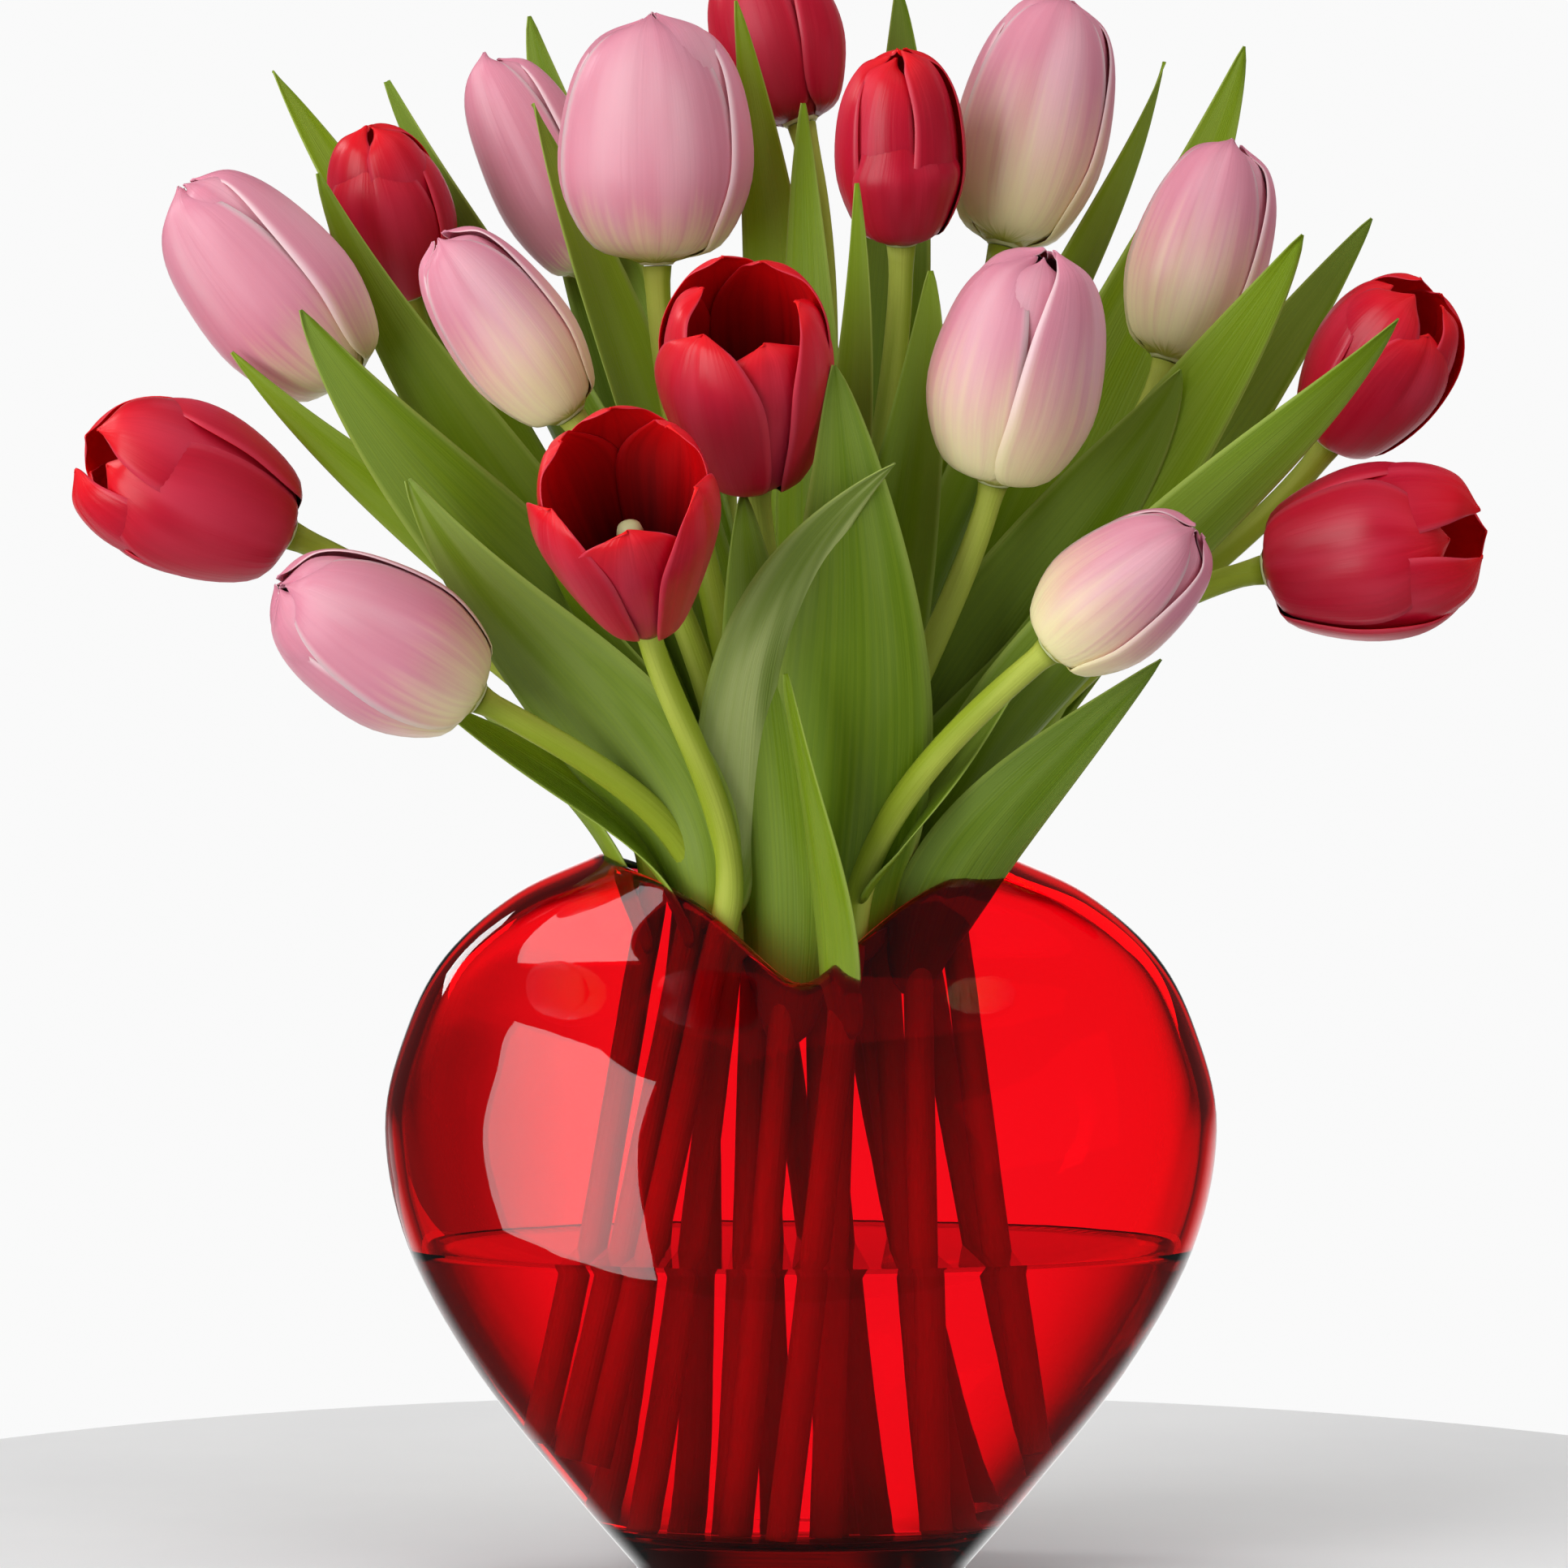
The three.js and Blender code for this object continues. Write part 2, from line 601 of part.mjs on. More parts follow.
// The bloom: three outer and three inner petals, rooted side by side round the receptacle, whose flat
// underside sits on the cut of the stem and whose top closes the bottom of the cup.
function bloomSolid(tulip) {
  const { place } = bloomFrame(tulip);
  const petals = [0, 1, 2, 3, 4, 5].map((k) => {
    const inner = k % 2 === 1;
    const [lengthSteps, widthSteps] = inner ? [3, 2] : [4, 3];
    const centre = degrees(tulip.turn + 60 * k);
    const root = (v, way) => {
      const [radius, height] = way > 0 ? RECEPTACLE_BOTTOM : RECEPTACLE_TOP;
      return place(radius, centre + (v * Math.PI) / 6, height);
    };
    const surface = petalSurface(tulip, inner, Math.floor(k / 2));
    return { geometry: blade(surface, lengthSteps, widthSteps, PETAL_THICKNESS, root), root, widthSteps };
  });
  const caps = [1, -1].map((way) => {
    const rim = petals.flatMap(({ root, widthSteps }) =>
      steps(-1, 1, widthSteps)
        .slice(0, -1)
        .map((v) => root(v, way)),
    );
    const middle = place(0, 0, (way > 0 ? RECEPTACLE_BOTTOM : RECEPTACLE_TOP)[1]);
    const fan = rim.map((_, i) => [rim.length, i, (i + 1) % rim.length]);
    return geometryOf([...rim, middle], way > 0 ? fan : fan.map((t) => t.toReversed()));
  });
  const cup = solidOf(mergeGeometries([...petals.map(({ geometry }) => geometry), ...caps]));
  if (tulip.open < OPEN_ENOUGH) return cup;
  return wasm.Manifold.union([cup, ...heart(tulip).map(solidOf)]);
}

// What stands inside an open cup: the pistil with its wider head, and six stamens, sunk into the receptacle.
function heart(tulip) {
  const { length, place } = bloomFrame(tulip);
  const pistil = [0, 0.3, 0.36, 0.4].map((share) => place(0, 0, share * length));
  const stamens = [0, 1, 2, 3, 4, 5].map((k) => {
    const angle = degrees(tulip.turn + 60 * k);
    return tube([place(2.8, angle, 0), place(0.3 * tulip.radius, angle, 0.36 * length)], [0.9, 0.9], 3);
  });
  return [tube(pistil, [1.6, 1.6, 2.8, 2], 6), ...stamens];
}

function leafyStemSolid(tulip) {
  const leaves = tulip.leaves.map((leaf) => blade(leafSurface(tulip, leaf), 6, 2, LEAF_THICKNESS));
  return fuse([stemTube(tulip), ...leaves]);
}

const bouquet = new THREE.Group();
bouquet.add(node("vase", vaseGeometry(), glass()));
bouquet.add(node("water", geometryFrom(waterSolid()), waterMaterial()));
TULIPS.forEach((tulip, i) => {
  const number = String(i + 1).padStart(2, "0");
  bouquet.add(node(`tulip_${number}_stem`, geometryFrom(leafyStemSolid(tulip)), green()));
  bouquet.add(node(`tulip_${number}_bloom`, geometryFrom(bloomSolid(tulip)), petalMaterial(tulip.colour)));
});

export default bouquet;
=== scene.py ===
import math

import bpy
import numpy as np
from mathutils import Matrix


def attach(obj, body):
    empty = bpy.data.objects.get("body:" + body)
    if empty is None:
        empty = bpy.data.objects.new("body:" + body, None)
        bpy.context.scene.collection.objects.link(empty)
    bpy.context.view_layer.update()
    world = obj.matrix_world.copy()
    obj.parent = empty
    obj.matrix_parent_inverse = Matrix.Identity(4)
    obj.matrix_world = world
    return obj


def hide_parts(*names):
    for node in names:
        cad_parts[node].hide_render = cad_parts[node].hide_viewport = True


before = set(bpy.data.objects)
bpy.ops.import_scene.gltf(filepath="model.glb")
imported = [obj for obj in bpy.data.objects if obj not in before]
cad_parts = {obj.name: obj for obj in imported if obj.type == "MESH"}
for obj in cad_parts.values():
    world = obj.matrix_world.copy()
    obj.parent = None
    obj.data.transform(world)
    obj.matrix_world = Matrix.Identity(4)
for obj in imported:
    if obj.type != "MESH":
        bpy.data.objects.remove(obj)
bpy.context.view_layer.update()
scene = bpy.context.scene

# Camera at the height of the blooms, a step and a half from the vase, looking a little down on it.
# Shapes are worked out in millimetres from the middle of the vase's underside, then put in metres.
MM = 0.001
CAMERA_PLACE = (-3.9, -1498.6, 246.4)
CAMERA_PITCH = math.radians(-2.5)
CAMERA_LENS = 151.1
camera_data = bpy.data.cameras.new("camera")
camera_data.lens = CAMERA_LENS
camera_data.sensor_width = 36
camera_data.clip_end = 20
camera = bpy.data.objects.new("camera", camera_data)
camera.location = [MM * c for c in CAMERA_PLACE]
camera.rotation_euler = (math.pi / 2 + CAMERA_PITCH, 0, 0)
scene.collection.objects.link(camera)
scene.camera = camera

# Soft studio light: a tall panel at the left front and a small one at the left behind, which the glass
# mirrors, and panels at the right, above and at the right behind, which it does not. Each has its place, what
# it faces, its width and height, its watts and whether it is mirrored. The standard view keeps the reds.
scene.view_settings.view_transform = "Standard"
PANELS = {
    "tall_left": ((-1.00, -0.95, 0.64), (0.0, 0.0, 0.64), 0.95, 1.86, 22.0, True),
    "small_left": ((-1.22, 0.55, 1.05), (0.0, 0.0, 0.15), 0.28, 0.42, 4.0, True),
    "right_fill": ((1.30, -1.10, 0.85), (0.0, 0.0, 0.20), 1.20, 1.20, 6.0, False),
    "top_fill": ((0.10, -0.20, 1.60), (0.0, 0.0, 0.25), 1.30, 1.30, 6.0, False),
    "back_fill": ((0.90, 1.10, 0.95), (0.0, 0.0, 0.25), 1.00, 1.00, 7.0, False),
}


def light_panel(name, place, target, width, height, watts, mirrored):
    """A rectangular light at a place, turned to face a target."""
    data = bpy.data.lights.new(name, "AREA")
    data.shape, data.size, data.size_y, data.energy = "RECTANGLE", width, height, watts
    panel = bpy.data.objects.new(name, data)
    way = np.subtract(target, place)
    panel.location = place
    panel.visible_glossy = mirrored
    panel.rotation_euler = (math.atan2(np.hypot(way[0], way[1]), -way[2]), 0, math.atan2(-way[0], way[1]))
    scene.collection.objects.link(panel)


for panel_name, panel in PANELS.items():
    light_panel(panel_name, *panel)


def node(tree, kind, inputs=None, **settings):
    """A shader node with its settings, whose inputs are numbers, colours or the outputs of other nodes."""
    made = tree.nodes.new(kind)
    for key, value in settings.items():
        setattr(made, key, value)
    for key, value in (inputs or {}).items():
        if isinstance(value, bpy.types.NodeSocket):
            tree.links.new(value, made.inputs[key])
        else:
            made.inputs[key].default_value = value
    return made


def maths(tree, operation, *values):
    """The result of one sum on one or two numbers."""
    return node(tree, "ShaderNodeMath", dict(enumerate(values)), operation=operation).outputs[0]


def mixed(tree, share, first, second):
    """The first colour turning into the second by a share from 0 to 1."""
    inputs = {0: share, 6: first, 7: second}
    return node(tree, "ShaderNodeMix", inputs, data_type="RGBA").outputs[2]


def between(tree, value, low, high, start=0.0, end=1.0):
    """Start below the low value, end above the high one, and a smooth turn from one to the other."""
    inputs = {"Value": value, "From Min": low, "From Max": high, "To Min": start, "To Max": end}
    return node(tree, "ShaderNodeMapRange", inputs, interpolation_type="SMOOTHSTEP").outputs[0]


def colour(red, green, blue):
    """A colour seen as these values from 0 to 255, as the light that it sends back."""
    seen = np.array([red, green, blue]) / 255
    light = np.where(seen > 0.04045, ((seen + 0.055) / 1.055) ** 2.4, seen / 12.92)
    return (*light.tolist(), 1.0)


def new_material(name):
    """An empty material's node tree and its main shader."""
    made = bpy.data.materials.new(name)
    made.use_nodes = True
    return made, made.node_tree, made.node_tree.nodes["Principled BSDF"]


# The studio round the vase: a bright white backdrop far behind, which glows through the glass, a pale floor
# that runs on behind it, and dim sides, dimmer still to what the glass mirrors and bends, so that its edges
# are dark. The camera sees plain white. A pair is where a fade starts and ends in a direction's x, y or z.
BACKDROP = 1.27
BACKDROP_BEHIND = (0.3, 0.6)
BACKDROP_SIDES = (0.1, 0.42)
BACKDROP_TOP = (0.06, 0.38)
FAR_FLOOR = 1.0
FAR_FLOOR_BEHIND = (0.6, 0.95)
FAR_FLOOR_BELOW = (-0.15, 0.0)
DIM_SIDES = 0.28
BENT_SIDES = 0.16
MIRRORED_SIDES = 0.08
SEEN_WHITE = 0.955


def chosen(tree, switch, off, on):
    """One number where the switch is 0 and the other where it is 1."""
    return node(tree, "ShaderNodeMix", {0: switch, 2: off, 3: on}, data_type="FLOAT").outputs[0]


world = bpy.data.worlds.new("white studio")
world.use_nodes = True
tree = world.node_tree
way = node(tree, "ShaderNodeSeparateXYZ", {0: node(tree, "ShaderNodeTexCoord").outputs["Generated"]}).outputs
sideways = maths(tree, "ABSOLUTE", way[0])
backdrop = between(tree, way[1], *BACKDROP_BEHIND)
backdrop = maths(tree, "MULTIPLY", backdrop, between(tree, sideways, *BACKDROP_SIDES, 1.0, 0.0))
backdrop = maths(tree, "MULTIPLY", backdrop, between(tree, way[2], *BACKDROP_TOP, BACKDROP, 0.0))
below = between(tree, way[2], *FAR_FLOOR_BELOW, FAR_FLOOR, 0.0)
far_floor = maths(tree, "MULTIPLY", between(tree, way[1], *FAR_FLOOR_BEHIND), below)
ray = node(tree, "ShaderNodeLightPath").outputs
sides = chosen(tree, ray["Is Transmission Ray"], DIM_SIDES, BENT_SIDES)
sides = chosen(tree, ray["Is Glossy Ray"], sides, MIRRORED_SIDES)
light = maths(tree, "MAXIMUM", maths(tree, "MAXIMUM", backdrop, far_floor), sides)
light = chosen(tree, ray["Is Camera Ray"], light, SEEN_WHITE)
tree.links.new(light, tree.nodes["Background"].inputs["Strength"])
tree.nodes["Background"].inputs["Color"].default_value = (1, 1, 1, 1)
scene.world = world

# Plain pale floor under the vase: a wide flat disc of matt board, on which the vase stands. Metres.
FLOOR_RADIUS = 0.3
FLOOR_SIDES = 96
floor_mesh = bpy.data.meshes.new("floor")
rim_turn = np.linspace(0, 2 * np.pi, FLOOR_SIDES + 1)[:-1]
rim_points = FLOOR_RADIUS * np.stack([np.cos(rim_turn), np.sin(rim_turn), 0 * rim_turn], 1)
floor_mesh.from_pydata(rim_points.tolist(), [], [list(range(FLOOR_SIDES))])
floor = bpy.data.objects.new("floor", floor_mesh)
scene.collection.objects.link(floor)
floor_material, tree, shader = new_material("pale floor")
grain = node(tree, "ShaderNodeTexNoise", {"Scale": 9.0, "Detail": 3.0})
tint = mixed(tree, grain.outputs[0], colour(240, 240, 241), colour(248, 248, 248))
tree.links.new(tint, shader.inputs["Base Color"])
shader.inputs["Roughness"].default_value = 0.6
floor_mesh.materials.append(floor_material)
floor.visible_glossy = False

# A dark studio card behind the left of the vase, out of the camera's sight, which deepens the red of the left
# half. It fades out towards the middle and the top. Metres.
CARD_DEPTH = 0.45
CARD_LEFT, CARD_RIGHT, CARD_TOP = -0.34, -0.03, 0.16
CARD_COVER = 0.7
CARD_FADE_RIGHT = (-0.125, -0.045)
CARD_FADE_TOP = (0.085, 0.14)


def object_place(tree):
    """The x, y and z of a point on its piece."""
    place = node(tree, "ShaderNodeTexCoord").outputs["Object"]
    return node(tree, "ShaderNodeSeparateXYZ", {0: place}).outputs


card_mesh = bpy.data.meshes.new("card")
card_corners = [(CARD_LEFT, 0), (CARD_RIGHT, 0), (CARD_RIGHT, CARD_TOP), (CARD_LEFT, CARD_TOP)]
card_mesh.from_pydata([(x, CARD_DEPTH, z) for x, z in card_corners], [], [(0, 1, 2, 3)])
card = bpy.data.objects.new("card", card_mesh)
card.visible_camera = False
scene.collection.objects.link(card)
card_material, tree, shader = new_material("dark card")
place = object_place(tree)
cover = between(tree, place[0], *CARD_FADE_RIGHT, CARD_COVER, 0.0)
cover = maths(tree, "MULTIPLY", cover, between(tree, place[2], *CARD_FADE_TOP, 1.0, 0.0))
tree.links.new(cover, shader.inputs["Alpha"])
shader.inputs["Base Color"].default_value = (0.02, 0.02, 0.02, 1)
shader.inputs["Roughness"].default_value = 1
card_mesh.materials.append(card_material)

# Vase: one moulded piece of red glass, heart-shaped from the front and oval from above, with walls 4 mm
# thick, a thick bottom, a small rounded foot and a saddle-shaped mouth, lowest at the front and the back.
VASE_PROFILE = np.array(
    [
        (36, 33, 0),
        (53, 43, 20),
        (75, 50, 48),
        (90, 53, 76),
        (95, 51, 103),
        (90, 41, 125),
        (81, 29, 142),
        (65, 26, 156),
        (46, 25, 165),
    ],
    float,
)
LIP_HALF_WIDTH = 46
NOTCH_SHARE = 0.71
NOTCH_ROUNDING = 0.1
WALL = 4
FLOOR_HEIGHT = 12
FOOT_ROUNDING = 2
CORNER_ROUNDING = 5
WALL_ROWS = 56
FOOT_ROWS = 6
LIP_ROWS = 10
CORNER_ROWS = 7
VASE_TURNS = np.linspace(0, 2 * np.pi, 145)[:-1]


def through(points, share):
    """A smooth curve through points, by share of the way: between two points a cubic whose slope at each is
    half the step from the point before it to the point after it."""
    points = np.asarray(points, float)
    knots = np.concatenate([2 * points[:1] - points[1:2], points, 2 * points[-1:] - points[-2:-1]])
    place = np.clip(share, 0, 1) * (len(points) - 1)
    start = np.minimum(place.astype(int), len(points) - 2)
    w = (place - start)[..., None]
    before, a, b, after = (knots[start + k] for k in range(4))
    slope_a, slope_b = (b - before) / 2, (after - a) / 2
    bend = 3 * (b - a) - 2 * slope_a - slope_b
    return a + w * slope_a + w**2 * bend + w**3 * (2 * (a - b) + slope_a + slope_b)


def unit(vectors):
    """Vectors divided by their lengths."""
    return vectors / np.maximum(np.linalg.norm(vectors, axis=-1, keepdims=True), 1e-9)


def normals_of(surface, u, v, step=0.001):
    """Unit normals of a surface of two parameters: its slope along the first crossed with the slope along the
    second, both taken over a small step."""
    along = surface(u + step, v) - surface(u - step, v)
    across = surface(u, v + step) - surface(u, v - step)
    return unit(np.cross(along, across))


def lip_share(turn):
    """Share of the profile at which the lip lies: 1 at the sides, and lowest at the front and the back, where
    the turn's cosine is 0, in a notch that is rounded like a hyperbola."""
    rounded = np.hypot(np.cos(turn), NOTCH_ROUNDING) - NOTCH_ROUNDING
    return NOTCH_SHARE + (1 - NOTCH_SHARE) * rounded / (np.hypot(1, NOTCH_ROUNDING) - NOTCH_ROUNDING)


def vase_outside(share, turn):
    """Outside of the vase: at each height an ellipse, whose points draw in towards the middle, by the square
    of the height under the lip, so that the lip ends at the narrow mouth."""
    half = through(VASE_PROFILE, np.asarray(share, float))
    lip = lip_share(turn)
    drawn = LIP_HALF_WIDTH / through(VASE_PROFILE, lip)[..., 0]
    c = np.cos(turn) * (1 + (drawn - 1) * (np.clip(share, 0, 1) / lip) ** 2)
    s = np.sign(np.sin(turn)) * np.sqrt(np.clip(1 - c * c, 0, 1))
    return np.stack([half[..., 0] * c, half[..., 1] * s, half[..., 2] + 0 * c], -1)


def vase_wall(share, turn, inset):
    """The outside moved in along its normal."""
    share, turn = np.broadcast_arrays(np.asarray(share, float), turn)
    return vase_outside(share, turn) + inset * normals_of(vase_outside, share, turn)


def share_at_height(height, turn, inset):
    """Share of the profile at which the moved-in wall reaches a height, by halving the stretch."""
    low, high = 0.002 + 0 * (height + turn), NOTCH_SHARE + 0 * (height + turn)
    for _ in range(24):
        middle = (low + high) / 2
        under = vase_wall(middle, turn, inset)[..., 2] < height
        low, high = np.where(under, middle, low), np.where(under, high, middle)
    return low


def inside_rings(inset, floor_height, top, count):
    """Rings of the hollow: out from the middle of a bottom at the floor's height, round its edge by a quarter
    circle, and up the moved-in wall to the share top of the way to the lip."""
    turn = VASE_TURNS[None, :]
    at_floor = share_at_height(floor_height, VASE_TURNS, inset)
    raised = share_at_height(floor_height + CORNER_ROUNDING, VASE_TURNS, inset)
    k = np.linspace(0, 1, count)[:, None]
    wall = vase_wall(raised + (lip_share(turn) * top - raised) * k, turn, inset)
    edge = vase_wall(at_floor, VASE_TURNS, inset)
    shrunk = 1 - CORNER_ROUNDING / VASE_PROFILE[0, 0]
    inner = edge * [shrunk, shrunk, 0] + [0, 0, floor_height]
    bow = np.linspace(0, np.pi / 2, CORNER_ROWS)[1:-1, None, None]
    corner = inner + (wall[0] - inner) * np.concatenate([np.sin(bow)] * 2 + [1 - np.cos(bow)], -1)
    bottom = inner * np.array([[0.25], [0.5], [0.75], [1]])[:, None] + [0, 0, 0]
    bottom[..., 2] = floor_height
    return np.concatenate([bottom, corner, wall])


def skin(rings, first, last, material=0, **values):
    """A closed skin over rings of points, with a middle point at each end: quads between the rings and a fan
    at each end. The UV runs round the rings and along them."""
    count, sides = rings.shape[:2]
    points = np.concatenate([rings.reshape(-1, 3), [first, last]])
    i, j = np.mgrid[: count - 1, :sides]
    near, far = i * sides + j, i * sides + (j + 1) % sides
    quads = np.stack([near, far, far + sides, near + sides], -1).reshape(-1, 4)
    along, turn = i / (count - 1), j / sides
    step_along, step_turn = 1 / (count - 1), 1 / sides
    corners = [(0, 0), (1, 0), (1, 1), (0, 1)]
    quad_uv = np.stack([np.stack([turn + a * step_turn, along + b * step_along], -1) for a, b in corners], 2)
    j = np.arange(sides)
    last_ring = (count - 1) * sides
    low = np.stack([0 * j + count * sides, (j + 1) % sides, j], 1)
    high = np.stack([0 * j + count * sides + 1, last_ring + j, last_ring + (j + 1) % sides], 1)
    fan_uv = np.stack([np.stack([j / sides, 0 * j], -1)] * 3, 1)
    return {
        "points": points,
        "quads": quads,
        "tris": np.concatenate([low, high]),
        "quad_uv": quad_uv.reshape(-1, 4, 2),
        "tri_uv": np.concatenate([fan_uv, fan_uv + [0, 1]]),
        "material": material,
        "values": {key: np.full(len(points), value, float) for key, value in values.items()},
    }


def make_piece(name, parts, materials, replaced):
    """One smooth mesh of all the parts, in metres, that rides on the root body and stands for a CAD node."""
    starts = np.cumsum([0] + [len(p["points"]) for p in parts])
    quads = np.concatenate([p["quads"] + s for p, s in zip(parts, starts)])
    tris = np.concatenate([p["tris"] + s for p, s in zip(parts, starts)])
    mesh = bpy.data.meshes.new(name)
    points = MM * np.concatenate([p["points"] for p in parts])
    mesh.from_pydata(points.tolist(), [], quads.tolist() + tris.tolist())
    quad_uv = np.concatenate([p["quad_uv"] for p in parts]).reshape(-1, 2)
    tri_uv = np.concatenate([p["tri_uv"] for p in parts]).reshape(-1, 2)
    uv_map = mesh.uv_layers.new(name="UVMap")
    uv_map.data.foreach_set("uv", np.concatenate([quad_uv, tri_uv]).ravel())
    for key in parts[0]["values"]:
        attribute = mesh.attributes.new(key, "FLOAT", "POINT")
        attribute.data.foreach_set("value", np.concatenate([p["values"][key] for p in parts]))
    for material in materials:
        mesh.materials.append(material)
    order = [p["material"] + np.zeros(len(p[kind]), int) for kind in ("quads", "tris") for p in parts]
    mesh.polygons.foreach_set("material_index", np.concatenate(order))
    mesh.polygons.foreach_set("use_smooth", np.ones(len(mesh.polygons), bool))
    mesh.update()
    piece = bpy.data.objects.new(name, mesh)
    scene.collection.objects.link(piece)
    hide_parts(replaced)
    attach(piece, "root")
    return piece


foot_share = share_at_height(FOOT_ROUNDING, np.zeros(1), 0)[0]
bow = np.linspace(np.pi / 2, 0, FOOT_ROWS)[:-1, None, None]
at_foot = vase_outside(foot_share, VASE_TURNS)
inward = unit(-at_foot * [1, 1, 0])
foot = at_foot + inward * FOOT_ROUNDING * (1 - np.cos(bow))
foot[..., 2] = FOOT_ROUNDING * (1 - np.sin(bow[..., 0]))
underside = foot[:1] * np.array([0.3, 0.6, 0.85])[:, None, None] * [1, 1, 0]
rise = np.linspace(0, 1, WALL_ROWS)[:, None]
lip_turn = lip_share(VASE_TURNS)[None]
outside = vase_outside(foot_share + (lip_turn - foot_share) * rise, VASE_TURNS[None])
lip_up = unit(vase_outside(lip_turn[0], VASE_TURNS) - vase_outside(lip_turn[0] - 0.001, VASE_TURNS))
lip_middle = vase_wall(lip_turn[0], VASE_TURNS, WALL / 2)
lip_out = vase_outside(lip_turn[0], VASE_TURNS) - lip_middle
bow = np.linspace(0, np.pi, LIP_ROWS)[1:-1, None, None]
lip = lip_middle + lip_out * np.cos(bow) + lip_up * (WALL / 2) * np.sin(bow)
hollow = inside_rings(WALL, FLOOR_HEIGHT, 1, WALL_ROWS)[::-1]
rings = np.concatenate([underside, foot, outside, lip, hollow])
vase = skin(rings, (0, 0, 0), (0, 0, FLOOR_HEIGHT))

# The red is in the glass itself: it takes more green and blue from the light the further this runs in it.
glass, tree, shader = new_material("red glass")
shader.inputs["Base Color"].default_value = colour(255, 240, 242)
shader.inputs["Transmission Weight"].default_value = 1
shader.inputs["IOR"].default_value = 1.5
ripple = node(tree, "ShaderNodeTexNoise", {"Scale": 14.0, "Detail": 1.0})
rough = maths(tree, "MULTIPLY", ripple.outputs[0], 0.02)
tree.links.new(rough, shader.inputs["Roughness"])
bump = node(tree, "ShaderNodeBump", {"Height": ripple.outputs[0], "Strength": 0.015, "Distance": 0.002})
tree.links.new(bump.outputs[0], shader.inputs["Normal"])
GLASS_RED = (0.972, 0.05, 0.33, 1)
GLASS_DENSITY = 900.0
depth = node(tree, "ShaderNodeVolumeAbsorption", {"Color": GLASS_RED, "Density": GLASS_DENSITY})
tree.links.new(depth.outputs[0], tree.nodes["Material Output"].inputs["Volume"])
make_piece("vase_red_glass", [vase], [glass], "vase")

# Water: fills the vase to under half its height, with a curved edge where it climbs the glass. It reaches a
# hair into the glass, as water that wets a wall leaves no air between, and bends light less than real water
# does, so that the stems break only a little at its surface.
WATER_LEVEL = 75
WETTING = 0.15
CLIMB = 0.8
CLIMB_WIDTH = 5
WATER_ROWS = 30
SURFACE_ROWS = 24
WATER_BEND = 1.22
wet_top = share_at_height(WATER_LEVEL + CLIMB, VASE_TURNS, WALL - WETTING) / lip_share(VASE_TURNS)
wet = inside_rings(WALL - WETTING, FLOOR_HEIGHT - WETTING, wet_top, WATER_ROWS)
shrink = np.linspace(1, 0, SURFACE_ROWS)[1:-1, None, None] ** 1.5
surface = wet[-1] * shrink
from_wall = np.linalg.norm(wet[-1] * [1, 1, 0], axis=-1)[None] * (1 - shrink[..., 0])
surface[..., 2] = WATER_LEVEL + CLIMB * np.exp(-from_wall / CLIMB_WIDTH * 3)
water = skin(np.concatenate([wet, surface]), (0, 0, FLOOR_HEIGHT - WETTING), (0, 0, WATER_LEVEL))

water_look, tree, shader = new_material("water")
shader.inputs["Base Color"].default_value = colour(250, 253, 253)
shader.inputs["Transmission Weight"].default_value = 1
shader.inputs["IOR"].default_value = WATER_BEND
still = node(tree, "ShaderNodeTexNoise", {"Scale": 30.0, "Detail": 1.0})
tree.links.new(maths(tree, "MULTIPLY", still.outputs[0], 0.01), shader.inputs["Roughness"])
make_piece("water_body", [water], [water_look], "water")

# Tulips: ten red and ten pink ones, cut, each with its stem and its leaves grown as one. The stems stand in
# the water, pass the mouth side by side and bend out to their blooms.

